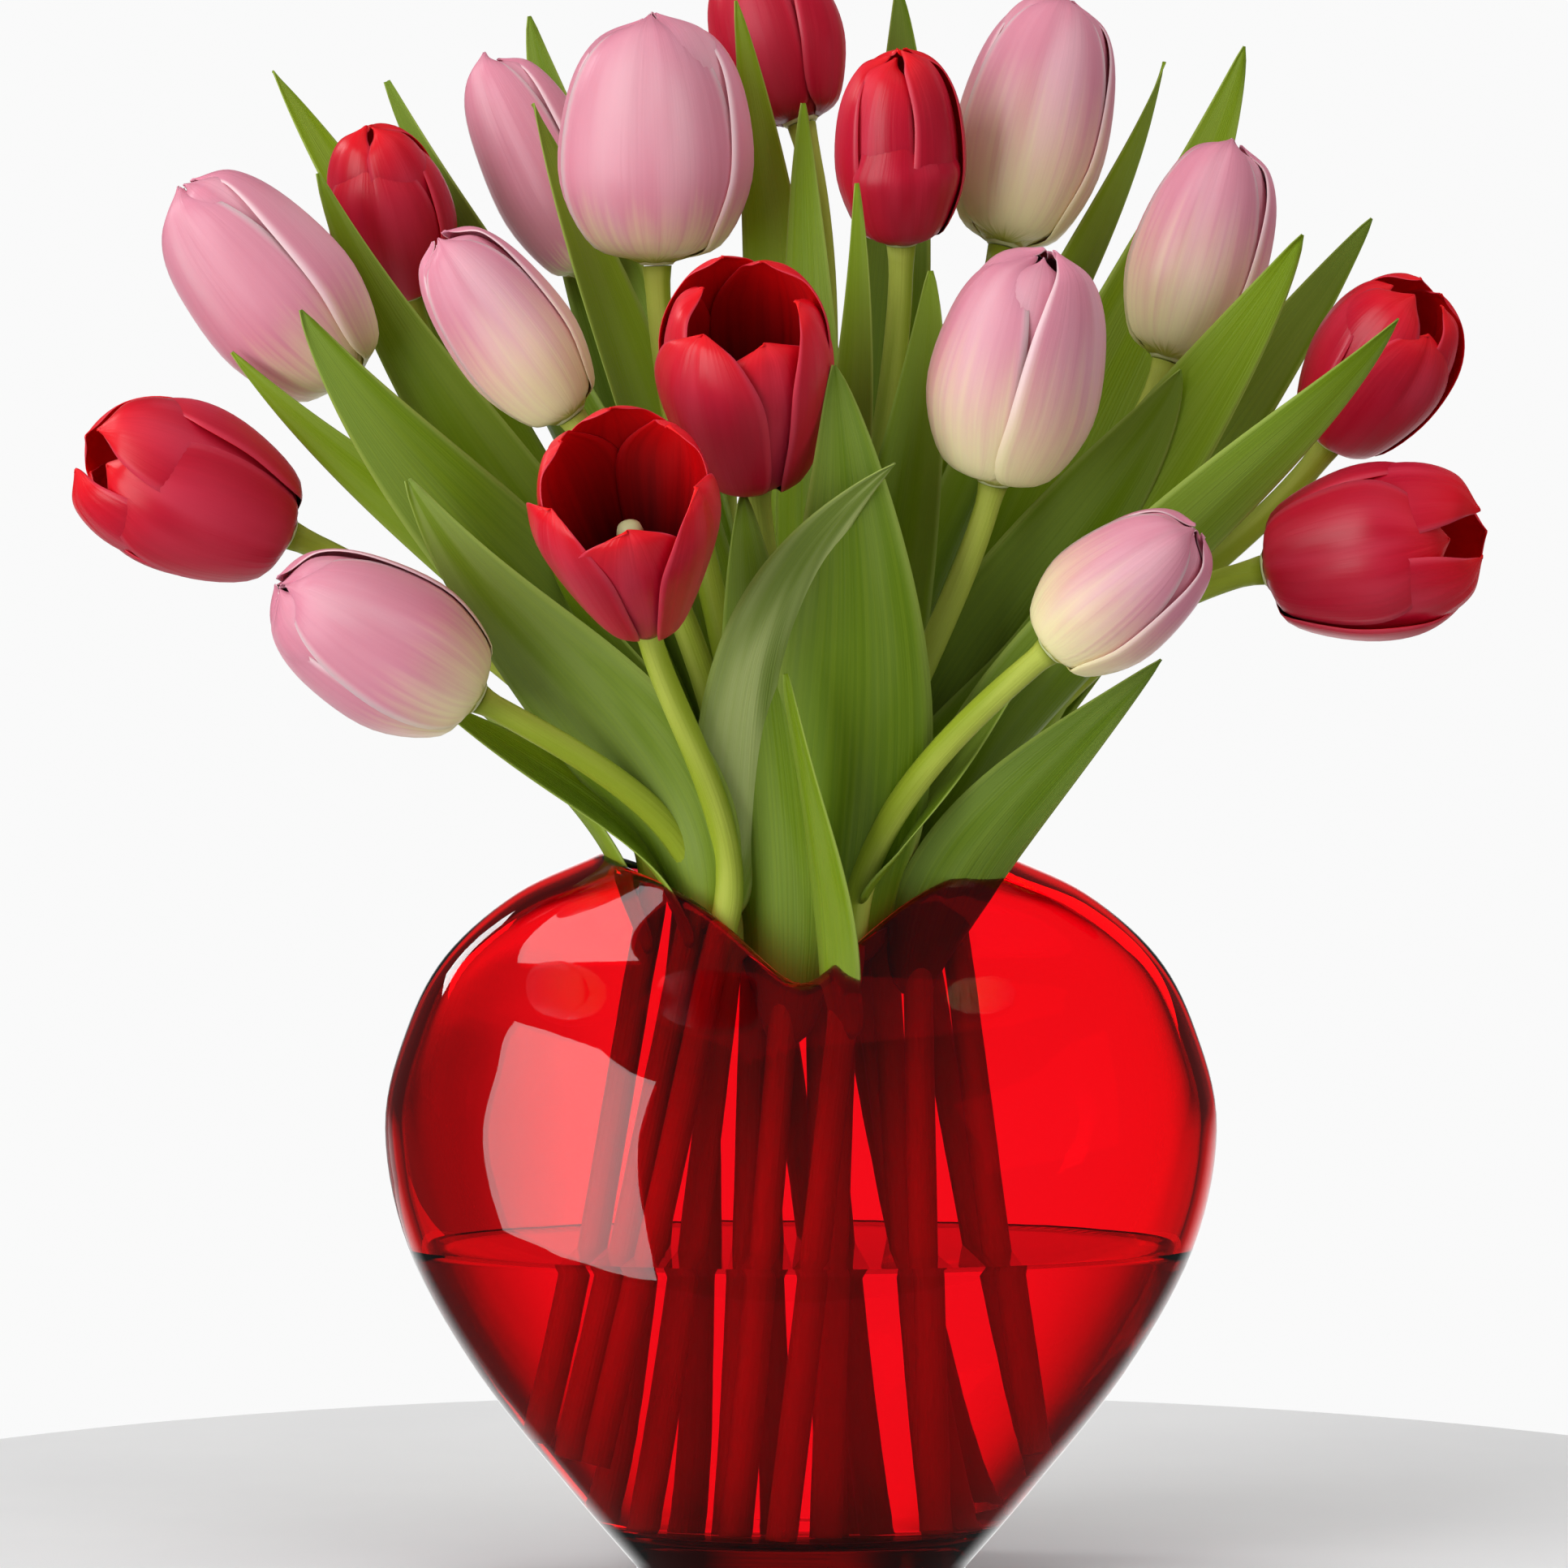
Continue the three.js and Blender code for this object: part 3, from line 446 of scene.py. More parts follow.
# Each tulip has the place where its stem passes the neck of the bunch (x, y), the base and the tip of its
# bloom, the bloom's radius, how far it is open, the turn of its petals, how far up they are pale, and its
# leaves. A leaf has its root as a share of the stem's curve, the side it grows on, a bend point, its tip, its
# width, the side it faces and how much of it is frosted grey. Turns are in degrees.
TULIPS = [
    ("red", (-34, -5), (-116, -10, 238), (-162, -28, 259), 18.5, 0.5, 15, 0.1, [
        (0.12, 180, (-60, -2, 184), (-86, 2, 214), 11, 180, 0.15),
    ]),
    ("pink", (-24, -14), (-72, -42, 202), (-115, -54, 227), 17.5, 0.02, -20, 0.38, [
        (0.15, -120, (-63, -33, 208), (-86, -32, 250), 27, -125, 0.3),
        (0.1, 170, (-54, -18, 182), (-84, -20, 203), 12, 170, 0.15),
    ]),
    ("pink", (-26, 1), (-103, 5, 273), (-141, 0, 318), 18, 0.05, 30, 0.33, [
        (0.42, -90, (-88, -24, 246), (-112, -20, 288), 22, -90, 0.15),
        (0.5, -100, (-92, -18, 240), (-128, -8, 279), 11, -100, 0.15),
    ]),
    ("red", (-22, 11), (-92, 48, 294), (-100, 30, 333), 14.5, 0.15, 10, 0.1, [
        (0.3, -100, (-88, 18, 262), (-110, 15, 320), 18, -100, 0.15),
        (0.4, 130, (-105, 70, 320), (-124, 72, 349), 16, 130, 0.15),
    ]),
    ("pink", (-15, -8), (-52, -20, 265), (-81, -28, 304), 13.5, 0, 0, 0.48, [
        (0.3, -150, (-46, -18, 212), (-55, -9, 236), 12, -150, 0.15),
    ]),
    ("pink", (-11, 11), (-49, 64, 300), (-74, 67, 351), 13.5, 0.05, 25, 0.2, [
        (0.25, 170, (-76, 60, 300), (-95, 66, 345), 20, -150, 0.15),
        (0.45, 80, (-58, 88, 320), (-66, 92, 363), 18, 80, 0.15),
    ]),
    ("pink", (-10, 1), (-33, 10, 300), (-34, 5, 356), 22, 0, 5, 0.28, [
        (0.3, 140, (-44, 36, 296), (-60, 36, 338), 20, 140, 0.15),
    ]),
    ("red", (2, 10), (0, 45, 334), (-12, 52, 379), 15, 0.15, 40, 0.1, [
        (0.3, -90, (-3, 28, 300), (-15, 22, 360), 15, -90, 0.15),
    ]),
    ("red", (-2, -9), (-10, -25, 249), (-14, -50, 296), 18.5, 0.6, 40, 0.1, [
        (-0.1, -110, (-9, -28, 206), (-12, -27, 247), 23, -110, 0.15),
        (0.25, 60, (14, -10, 255), (11, -14, 317), 12, 60, 0.15),
    ]),
    ("red", (-17, -18.6), (-34, -50, 218), (-40, -82, 255), 18, 0.85, 60, 0.1, [
        (0.2, 60, (-22, -42, 222), (19, -54, 254), 19, -65, 1.0),
    ]),
    ("red", (4, 0), (23, 16, 305), (22, 2, 348), 14.5, 0.1, -15, 0.1, [
        (0.25, -120, (2, 8, 290), (2, 14, 336), 15, -120, 0.15),
    ]),
    ("pink", (13, 10), (47, 34, 305), (62, 40, 364), 17.5, 0.05, 0, 0.48, [
        (0.3, 0, (70, 46, 300), (82, 46, 348), 16, -30, 0.15),
        (0.3, 90, (28, 64, 330), (23, 66, 368), 16, 90, 0.15),
    ]),
    ("pink", (10, -9), (43, -25, 250), (54, -38, 301), 19, 0.05, 58, 0.48, [
        (0.2, 60, (28, 2, 262), (28, 3, 298), 18, 60, 0.15),
    ]),
    ("pink", (18, 0), (84, 12, 278), (99, 15, 328), 15.5, 0.05, 10, 0.48, [
        (0.3, -80, (76, -6, 250), (85, -8, 275), 22, -80, 0.15),
        (0.4, 90, (94, 46, 310), (104, 46, 352), 18, 90, 0.15),
    ]),
    ("red", (34, 0), (121, 10, 259), (143, -8, 295), 15.5, 0.5, -30, 0.1, [
        (0.25, -90, (92, -8, 265), (113, -8, 305), 22, -90, 0.15),
        (0.4, 90, (112, 42, 280), (134, 44, 312), 15, 90, 0.15),
    ]),
    ("red", (26, -10), (105, -12, 230), (156, -25, 239), 19, 0.5, 0, 0.1, [
        (0.3, -60, (108, -34, 255), (131, -32, 286), 16, -60, 0.15),
        (0.03, -70, (48, -28, 180), (79, -32, 210), 16, -70, 0.15),
    ]),
    ("pink", (12, -19.8), (55, -48, 213), (86, -60, 239), 14.5, 0.02, 20, 0.48, [
        (0.05, 165, (17, -54, 225), (10, -46, 275), 31, -100, 0.15),
        (-0.15, -150, (4, -40, 176), (-1, -46, 207), 14, -150, 0.15),
        (0.25, 30, (46, -20, 200), (60, -14, 236), 18, 30, 0.15),
    ]),
    ("red", (-8, 20), (-18, 75, 252), (-18, 92, 292), 16, 0.1, 0, 0.1, [
        (0.1, 110, (-48, 80, 230), (-72, 92, 262), 24, 110, 0.15),
    ]),
    ("red", (8, 20), (38, 75, 254), (48, 92, 292), 16, 0.1, 30, 0.1, [
        (0.1, 90, (12, 74, 250), (4, 92, 290), 26, 90, 0.15),
    ]),
    ("pink", (26, 10), (86, 60, 266), (98, 74, 310), 14.5, 0.05, 15, 0.33, [
        (0.1, 50, (74, 70, 230), (100, 78, 262), 24, 50, 0.15),
    ]),
]
GAP = 0.3
STEM_RADIUS = 3.5
STEM_TAPER = (3.4, 2.8)
STEM_UNDER_BLOOM = (3.0, 3.4)
NECK_HEIGHT = 152
FAN_WIDTH = 1.7
FAN_DEPTH = 1.35
FAN_TURN = math.radians(-25)
MOUTH_FLATNESS = 0.62
STEM_BEND = 0.9
CUT_BELOW_BLOOM = 0.9


def foot_of(neck):
    """Foot of a stem: the neck's place turned and spread, just above the bottom, and lifted along the stem's
    line until it stands clear of the wall."""
    x, flat = neck[0], neck[1] / MOUTH_FLATNESS
    cosine, sine = math.cos(FAN_TURN), math.sin(FAN_TURN)
    turned = np.array([x * cosine - flat * sine, (x * sine + flat * cosine) * MOUTH_FLATNESS])
    end = np.array([turned[0] * FAN_WIDTH, turned[1] * FAN_DEPTH, FLOOR_HEIGHT + GAP])
    top = np.array([*neck, NECK_HEIGHT])
    lean = np.hypot(*(top - end)[:2]) / np.linalg.norm(top - end)
    end[2] += STEM_RADIUS * lean
    clear = WALL + 2 * GAP + STEM_RADIUS
    feet = end + (top - end) * np.arange(0, 1, 0.01)[:, None]
    wide, deep = 0 * feet[:, 2], np.pi / 2 + 0 * feet[:, 2]
    half_width = vase_wall(share_at_height(feet[:, 2], wide, clear), wide, clear)[:, 0]
    half_depth = vase_wall(share_at_height(feet[:, 2], deep, clear), deep, clear)[:, 1]
    return feet[np.argmax(np.hypot(feet[:, 0] / half_width, feet[:, 1] / half_depth) <= 1)]


def stem_curve(neck, base, tip):
    """A stem above the neck: the cubic that leaves the neck in the direction of the straight part below it
    and reaches the bloom's base in the bloom's direction. A share below 0 lies on the straight part."""
    top = np.array([*neck, NECK_HEIGHT])
    base, tip = np.array(base, float), np.array(tip, float)
    reach = np.linalg.norm(base - top) * STEM_BEND
    start, finish = unit(top - foot_of(neck)) * reach, unit(tip - base) * reach

    def at(share):
        s, below = np.clip(share, 0, 1)[..., None], np.clip(share, -1, 0)[..., None]
        leave, arrive = s**3 - 2 * s**2 + s, s**3 - s**2
        ends = top * (2 * s**3 - 3 * s**2 + 1) + base * (3 * s**2 - 2 * s**3)
        return ends + start * leave + finish * arrive + start * below / STEM_BEND

    return at, reach


def tube(path, radii, sides, **values):
    """A tube of round rings along a path, with flat ends. Its rings are square to the path."""
    along = unit(np.gradient(path, axis=0))
    side = unit(np.cross(along, (1, 0, 0)) + 1e-6)
    other = np.cross(along, side)
    turn = np.linspace(0, 2 * np.pi, sides + 1)[:-1, None]
    radii = np.broadcast_to(radii, len(path))[:, None, None]
    rings = path[:, None] + radii * (np.cos(turn) * side[:, None] + np.sin(turn) * other[:, None])
    return skin(rings, path[0], path[-1], **values)


def blade(surface, length_steps, width_steps, thickness, crowding=1.0, **values):
    """A sheet given as a surface of u (root to tip) and v (edge to edge) with a thickness that is its own
    function of u and v: both faces lie half of it away along the normal, and a border joins them. Crowding
    above 1 brings the rows closer together towards the tip, which keeps a blunt tip round."""
    u = 1 - np.linspace(1, 0, length_steps + 1)[:, None] ** crowding
    v = np.linspace(-1, 1, width_steps + 1)[None]
    u, v = np.broadcast_arrays(u, v)
    middle, normal = surface(u, v), normals_of(surface, u, v)
    offset = normal * thickness(u, v)[..., None] / 2
    points = np.concatenate([(middle + offset).reshape(-1, 3), (middle - offset).reshape(-1, 3)])
    back, columns = u.size, width_steps + 1
    i, j = np.mgrid[:length_steps, :width_steps]
    a = (i * columns + j).ravel()
    b, c, d = a + 1, a + columns + 1, a + columns
    border = np.concatenate(
        [
            np.arange(width_steps),
            np.arange(length_steps) * columns + width_steps,
            length_steps * columns + np.arange(width_steps, 0, -1),
            np.arange(length_steps, 0, -1) * columns,
        ]
    )
    after = np.roll(border, -1)
    faces = [np.stack([a, d, c, b], 1), np.stack([a, b, c, d], 1) + back]
    quads = np.concatenate([*faces, np.stack([border, after, after + back, border + back], 1)])
    uv = np.stack([(v + 1) / 2, u], -1).reshape(-1, 2)
    return {
        "points": points,
        "quads": quads,
        "tris": np.zeros((0, 3), int),
        "quad_uv": np.concatenate([uv, uv])[quads],
        "tri_uv": np.zeros((0, 3, 2)),
        "material": 0,
        "values": {key: np.full(len(points), value, float) for key, value in values.items()},
    }


# Leaves: a tulip's leaf clasps the stem as a trough at its root, opens flat above, and tapers to a point. It
# is thin at its edges, which wave, and has a shallow crease down its middle.
LEAF_SHEATH_RADIUS = 4.4
LEAF_SUNK_RADIUS = 1.5
LEAF_RISE = 0.3
LEAF_FULLNESS = 0.75
LEAF_BLUNTNESS = 0.8
LEAF_ROOT_HALF_WIDTH = 5
LEAF_TIP_HALF_WIDTH = 0.25
TROUGH_AT_TIP = 0.3
TROUGH_AT_ROOT = 1.5
WAVE_HEIGHT = 0.05
WAVE_RATE = 9
SHEATH_SHARE = 0.17
SHEATH_DROP = 0.2
CREASE_DEPTH = 0.5
LEAF_STEPS = (44, 14)
STEM_SIDES = 16


def smooth(value, low, high):
    """0 below the low value, 1 above the high one, and a smooth turn between."""
    w = np.clip((value - low) / (high - low), 0, 1)
    return w * w * (3 - 2 * w)


def leaf_surface(curve, leaf):
    """A leaf's middle sheet. Its spine is a Bezier curve from the stem to the tip. Across it runs an arc
    whose half angle falls from a trough to nearly flat. Its half width swells as a sine of the share of the
    way, and its edges wave by the square of v."""
    root_share, side, bend, tip, width, facing, _ = leaf
    stem = curve(root_share - SHEATH_DROP)
    growth = unit(curve(root_share - SHEATH_DROP + 0.01) - stem)
    clasped, outward = (
        np.array([math.cos(compass), math.sin(compass), 0]) for compass in np.radians([side, facing])
    )
    clasped, outward = (unit(way - growth * (way @ growth)) for way in (clasped, outward))
    root = stem + clasped * LEAF_SUNK_RADIUS
    bend, tip = np.array(bend, float), np.array(tip, float)
    rise = root + growth * LEAF_RISE * np.linalg.norm(root - tip)

    def at(u, v):
        s = np.clip(u, 0, 1)
        w, t = s[..., None], 1 - s[..., None]
        spine = root * t**3 + 3 * rise * t * t * w + 3 * bend * t * w * w + tip * w**3
        along = unit((rise - root) * t * t + 2 * (bend - rise) * t * w + (tip - bend) * w * w)
        normal = unit(outward - along * (along @ outward)[..., None])
        across = np.cross(along, normal)
        swell = np.abs(np.sin(np.pi * s**LEAF_FULLNESS)) ** LEAF_BLUNTNESS
        half = width / 2 * swell + LEAF_ROOT_HALF_WIDTH + (LEAF_TIP_HALF_WIDTH - LEAF_ROOT_HALF_WIDTH) * s
        trough = TROUGH_AT_TIP + (TROUGH_AT_ROOT - TROUGH_AT_TIP) * (1 - s) ** 4
        radius = half / trough
        wave = WAVE_HEIGHT * width * v * v * np.sin(WAVE_RATE * s + v) * s
        crease = CREASE_DEPTH * np.exp(-((v / 0.12) ** 2)) * smooth(s, 0.05, 0.3) * (1 - s)
        sheath = (LEAF_SHEATH_RADIUS - LEAF_SUNK_RADIUS) * smooth(s, 0, SHEATH_SHARE)
        lift = wave + crease - radius * (1 - np.cos(v * trough))
        place = spine + clasped * sheath[..., None] + across * (radius * np.sin(v * trough))[..., None]
        return place + normal * lift[..., None]

    return at


def blade_place(tree):
    """Where a point lies on its blade: across it and along it, each from 0 to 1."""
    place = node(tree, "ShaderNodeSeparateXYZ", {0: node(tree, "ShaderNodeUVMap", uv_map="UVMap").outputs[0]})
    return place.outputs[0], place.outputs[1]


def from_middle(tree, across):
    """0 on the middle line of a blade and 1 at its edges."""
    return maths(tree, "ABSOLUTE", maths(tree, "SUBTRACT", maths(tree, "MULTIPLY", across, 2.0), 1.0))


def carried(tree, name):
    """A value that the mesh carries at each of its points."""
    return node(tree, "ShaderNodeAttribute", attribute_name=name).outputs["Fac"]


def growth_lines():
    """A group that draws fine lines along a blade, root to tip, from noise stretched along its UV. It puts
    out the lines and broad soft patches as masks, and a height for a bump."""
    group = bpy.data.node_groups.new("growth lines", "ShaderNodeTree")
    for name in ("Lines", "Length", "Offset"):
        group.interface.new_socket(name=name, in_out="INPUT", socket_type="NodeSocketFloat")
    for name in ("Line Mask", "Patch Mask", "Height"):
        group.interface.new_socket(name=name, in_out="OUTPUT", socket_type="NodeSocketFloat")
    given = group.nodes.new("NodeGroupInput").outputs
    result = group.nodes.new("NodeGroupOutput").inputs
    blade_across, blade_along = blade_place(group)
    across = maths(group, "MULTIPLY", blade_across, given["Lines"])
    along = maths(group, "MULTIPLY", blade_along, given["Length"])
    spot = node(group, "ShaderNodeCombineXYZ", {0: across, 1: along, 2: given["Offset"]})
    fine = node(group, "ShaderNodeTexNoise", {"Vector": spot.outputs[0], "Scale": 1.0, "Detail": 3.0})
    wide, tall = maths(group, "MULTIPLY", blade_across, 2.5), maths(group, "MULTIPLY", along, 0.9)
    broad_spot = node(group, "ShaderNodeCombineXYZ", {0: wide, 1: tall, 2: given["Offset"]})
    broad = node(group, "ShaderNodeTexNoise", {"Vector": broad_spot.outputs[0], "Scale": 1.0, "Detail": 2.0})
    group.links.new(between(group, fine.outputs[0], 0.38, 0.64), result["Line Mask"])
    group.links.new(between(group, broad.outputs[0], 0.36, 0.64), result["Patch Mask"])
    group.links.new(fine.outputs[0], result["Height"])
    return group


def drawn_lines(tree, lines, length):
    """The growth lines in a material, set off by the blade's own tone."""
    made = tree.nodes.new("ShaderNodeGroup")
    made.node_tree = LINES_GROUP
    made.inputs["Lines"].default_value = lines
    made.inputs["Length"].default_value = length
    tree.links.new(maths(tree, "MULTIPLY", carried(tree, "tone"), 37.0), made.inputs["Offset"])
    return made.outputs


LINES_GROUP = growth_lines()
greenery, tree, shader = new_material("stem and leaf green")
lines = drawn_lines(tree, 46.0, 1.6)
across, along = blade_place(tree)
leaf_green = mixed(tree, carried(tree, "tone"), colour(66, 98, 0), colour(132, 160, 0))
frosted = maths(tree, "MULTIPLY", between(tree, lines["Patch Mask"], -0.4, 0.9), carried(tree, "frost"))
leaf_green = mixed(tree, frosted, leaf_green, colour(172, 186, 116))
lined = maths(tree, "MULTIPLY", lines["Line Mask"], 0.14)
leaf_green = mixed(tree, lined, leaf_green, colour(146, 168, 40))
rim = between(tree, from_middle(tree, across), 0.84, 1.0, 0.0, 0.7)
leaf_green = mixed(tree, rim, leaf_green, colour(160, 180, 84))
rooted = between(tree, along, 0.0, 0.2, 0.55, 0.0)
leaf_green = mixed(tree, rooted, leaf_green, colour(140, 166, 44))
stalk_green = mixed(tree, lines["Patch Mask"], colour(150, 168, 44), colour(180, 192, 80))
in_vase = between(tree, object_place(tree)[2], 0.075, 0.135, 0.85, 0.0)
stalk_green = mixed(tree, in_vase, stalk_green, colour(228, 214, 168))
green = mixed(tree, carried(tree, "stalk"), leaf_green, stalk_green)
tree.links.new(green, shader.inputs["Base Color"])
tree.links.new(between(tree, lines["Patch Mask"], 0.0, 1.0, 0.38, 0.55), shader.inputs["Roughness"])
bump = node(tree, "ShaderNodeBump", {"Height": lines["Height"], "Strength": 0.35, "Distance": 0.0006})
tree.links.new(bump.outputs[0], shader.inputs["Normal"])
shader.inputs["Specular IOR Level"].default_value = 0.16


def leaf_thickness(u, v):
    """Thickest along the middle near the root, thin at the edges and the tip."""
    return 0.25 + 0.55 * (1 - v * v) * (1 - 0.6 * u)


for number, (_, neck, base, tip, *_, leaves) in enumerate(TULIPS, 1):
    random = np.random.default_rng(number)
    curve, reach = stem_curve(neck, base, tip)
    straight = foot_of(neck) + (curve(0.0) - foot_of(neck)) * np.linspace(0, 1, 9)[:-1, None]
    path = np.concatenate([straight, curve(np.linspace(0, 1 - CUT_BELOW_BLOOM / reach, 40))])
    taper = np.linspace(*STEM_TAPER, len(path))
    taper[-2:] = STEM_UNDER_BLOOM
    parts = [tube(path, taper, STEM_SIDES, stalk=1.0, tone=random.random(), frost=0.0)]
    for leaf in leaves:
        values = {"stalk": 0.0, "tone": random.uniform(0.15, 0.85), "frost": leaf[-1]}
        parts.append(blade(leaf_surface(curve, leaf), *LEAF_STEPS, leaf_thickness, **values))
    name = f"tulip_{number:02d}_stem"
    make_piece(f"{name}_and_leaves", parts, [greenery], name)

# Blooms: six cupped petals in two rings of three, rooted round the green receptacle on the cut of the stem.
# The outer three lie over the edges of their neighbours; the cup is closed in bud and opens with age.
PETAL_ROOT_RADIUS = 4.4
OUTER_HALF_ANGLE = 1.12
INNER_HALF_ANGLE = 1.16
INNER_INSET = 1.4
INNER_LIFT = 1.0
OUTER_TUCK = 0.13
INNER_TUCK = 0.07
PETAL_SLACK = 0.4
PETAL_LAP = 0.45
MOST_CURL = 0.35
RIPPLE = 0.3
GROOVE = 0.4
TIP_ROUNDING = 0.05
TIP_SHARE = 0.72
TIP_CROWDING = 1.7
PETAL_STEPS = (36, 18)
HEART_VALUES = {"tone": 0.5, "inside": 0.0, "cream": 0.0, "deep": 0.0}


def bloom_frame(base, tip):
    """A bloom's length and a function that places points by radius, angle from the front and height."""
    base, way = np.array(base, float), np.subtract(tip, base).astype(float)
    length, axis = np.linalg.norm(way), unit(way)
    front = unit(np.array([0, -1, 0]) + axis * axis[1])
    right = np.cross(front, axis)

    def place(out, angle, height):
        out, angle, height = (np.asarray(a, float)[..., None] for a in (out, angle, height))
        return base + axis * height + front * out * np.cos(angle) + right * out * np.sin(angle)

    return length, place


def petal_surface(frame_of_bloom, radius, open_share, centre, inner, height_share, dip, random):
    """A petal's middle sheet, cupped round the bloom's axis. Its radius, height and half angle follow a
    smooth curve from root to tip. The half angle closes as an ellipse at the tip, one edge lies further out
    than the other, and the margin ripples and curls a little. The more open the bloom, the wider its mouth
    and the narrower its petals. In a wide open one the front petal hangs lower, and a dip makes any petal end
    lower by that share of the bloom's length, and lean out."""
    length, place = frame_of_bloom
    closed_inner = inner and open_share < 0.5
    inset, lift = (INNER_INSET, INNER_LIFT) if inner else (0, 0)
    slack = random.uniform(-PETAL_SLACK, PETAL_SLACK)
    cone = max(0, open_share - 0.5)
    hang = cone * (1 + math.cos(centre)) / 2
    top = length * (height_share - dip) * (1 - 0.1 * open_share + 0.4 * (cone - hang))
    half_angle = INNER_HALF_ANGLE if inner else OUTER_HALF_ANGLE
    half_angle *= 1 - 0.3 * open_share * smooth(math.cos(centre), -0.6, 0.4)
    narrow = (1.2 - 0.65 * open_share if inner else 0.9 - 0.35 * open_share) + 0.5 * dip
    spread = 0.85 * open_share**1.6 * (0.4 if closed_inner else 1)
    tuck = INNER_TUCK if inner else OUTER_TUCK
    profile = [
        (PETAL_ROOT_RADIUS, 0.3, math.pi / 6),
        ((0.69 - 0.5 * cone) * radius - inset, 0.08 * length + lift, half_angle),
        ((1 - 0.4 * cone) * radius - inset, 0.35 * length, half_angle),
        ((0.91 + 0.25 * open_share) * radius - inset + slack, 0.7 * top, 0.93 * half_angle),
        ((0.62 + 0.6 * (spread + dip) + 0.3 * hang) * radius - 0.8 * inset + slack, 0.92 * top, narrow),
        ((tuck + spread + 1.5 * dip + 0.6 * hang) * radius - 0.4 * inset + slack, top, narrow),
    ]
    phase, curl = random.uniform(0, 2 * np.pi), random.uniform(0, MOST_CURL)
    tip_share = TIP_SHARE - 0.2 * open_share - 0.6 * dip + (0.12 if closed_inner else 0)

    def at(u, v):
        s = np.clip(u, 0, 1)
        curve = through(profile, s)
        closing = np.sqrt(1 - np.clip((s - tip_share) / (1 - tip_share), 0, 1) ** 2)
        angle = centre + v * curve[..., 2] * closing
        groove = GROOVE * np.exp(-((v / 0.1) ** 2)) * smooth(s, 0.1, 0.5)
        upper = smooth(s, 0.5, 0.9)
        ripple = RIPPLE * upper * v * v * np.sin(7 * s + 3 * v + phase)
        ripple = ripple + curl * upper * np.clip(v, 0, 1) ** 4
        lap = PETAL_LAP * v * np.minimum(1, 8 * s)
        drop = TIP_ROUNDING * length * v * v * s**3 * closing
        return place(curve[..., 0] + lap - groove + ripple, angle, curve[..., 1] - drop)

    return at


def petal_thickness(u, v):
    """Fleshy at the root, thin at the margin."""
    return 0.2 + 0.5 * (1 - v * v) * (1 - 0.5 * u)


def heart_parts(frame_of_bloom, radius, turn, open_share):
    """What stands in an open cup: a pistil with a thick head, and six stamens round it, each a thin stalk
    with a long anther. The pistil is taller in a wide open bloom, where it shows."""
    length, place = frame_of_bloom
    shares = np.array([0, 0.2, 0.46, 0.52, 0.56, 0.59, 0.61]) * (1 if open_share > 0.8 else 0.72)
    widths = [1.5, 1.7, 1.8, 2.4, 3.0, 2.6, 1.2]
    parts = [tube(place(0, 0, shares * length), widths, 18, material=1, **HEART_VALUES)]
    shares = np.array([0, 0.2, 0.4, 0.45, 0.6, 0.8, 0.95, 1.0])
    widths = [0.6, 0.5, 0.45, 1.0, 1.25, 1.2, 0.9, 0.3]
    for angle in np.radians(turn + 60 * np.arange(6)):
        path = place(2.8 + (0.3 * radius - 2.8) * shares, angle + 0 * shares, shares * 0.46 * length)
        parts.append(tube(path, widths, 8, material=2, **HEART_VALUES))
    return parts


def petal_paint(tree, lines, face, line, wax, edge, tip, root, foot, root_end):
    """One face of a petal: its colour with lines along it, a waxy bloom down the middle, a margin of a paler
    tint, which is partly the petal's own pale margin and partly a painted highlight along its edges, a tip of
    another tint, a root colour that fades out at root_end, and another where the petal is rooted."""
    across, along = blade_place(tree)
    middle = from_middle(tree, across)
    painted = mixed(tree, maths(tree, "MULTIPLY", lines["Line Mask"], 0.15), face, line)
    waxed = maths(tree, "MULTIPLY", between(tree, middle, 0.2, 0.85, 0.85, 0.0), lines["Patch Mask"])
    painted = mixed(tree, waxed, painted, wax)
    painted = mixed(tree, between(tree, along, 0.55, 1.0, 0.0, 0.85), painted, tip)
    # Paler margin on both edges: partly the petal's own pale edge, partly a painted highlight.
    painted = mixed(tree, between(tree, middle, 0.86, 1.0, 0.0, 0.75), painted, edge)
    uneven = maths(tree, "MULTIPLY", lines["Height"], 0.25)
    height = maths(tree, "SUBTRACT", maths(tree, "ADD", along, uneven), 0.125)
    near = between(tree, maths(tree, "DIVIDE", height, root_end), 0.3, 1.3, 1.0, 0.0)
    rooted = between(tree, height, 0.02, 0.16, 1.0, 0.0)
    return mixed(tree, rooted, mixed(tree, near, painted, root), foot)


def petal_material(name, outer, inner):
    """A petal's material: outside and inside each painted in its own colours."""
    material, tree, shader = new_material(name)
    lines = drawn_lines(tree, 22.0, 1.3)
    out_paint = petal_paint(tree, lines, *outer, carried(tree, "cream"))
    in_paint = petal_paint(tree, lines, *inner, carried(tree, "deep"))
    painted = mixed(tree, carried(tree, "inside"), out_paint, in_paint)
    tree.links.new(painted, shader.inputs["Base Color"])
    tree.links.new(between(tree, lines["Patch Mask"], 0.0, 1.0, 0.34, 0.5), shader.inputs["Roughness"])
    bump = node(tree, "ShaderNodeBump", {"Height": lines["Height"], "Strength": 0.25, "Distance": 0.0006})
    tree.links.new(bump.outputs[0], shader.inputs["Normal"])
    shader.inputs["Specular IOR Level"].default_value = 0.36
    shader.inputs["Subsurface Weight"].default_value = 0.12
    shader.inputs["Subsurface Radius"].default_value = (1.0, 0.45, 0.4)
    shader.inputs["Subsurface Scale"].default_value = 0.002
    return material
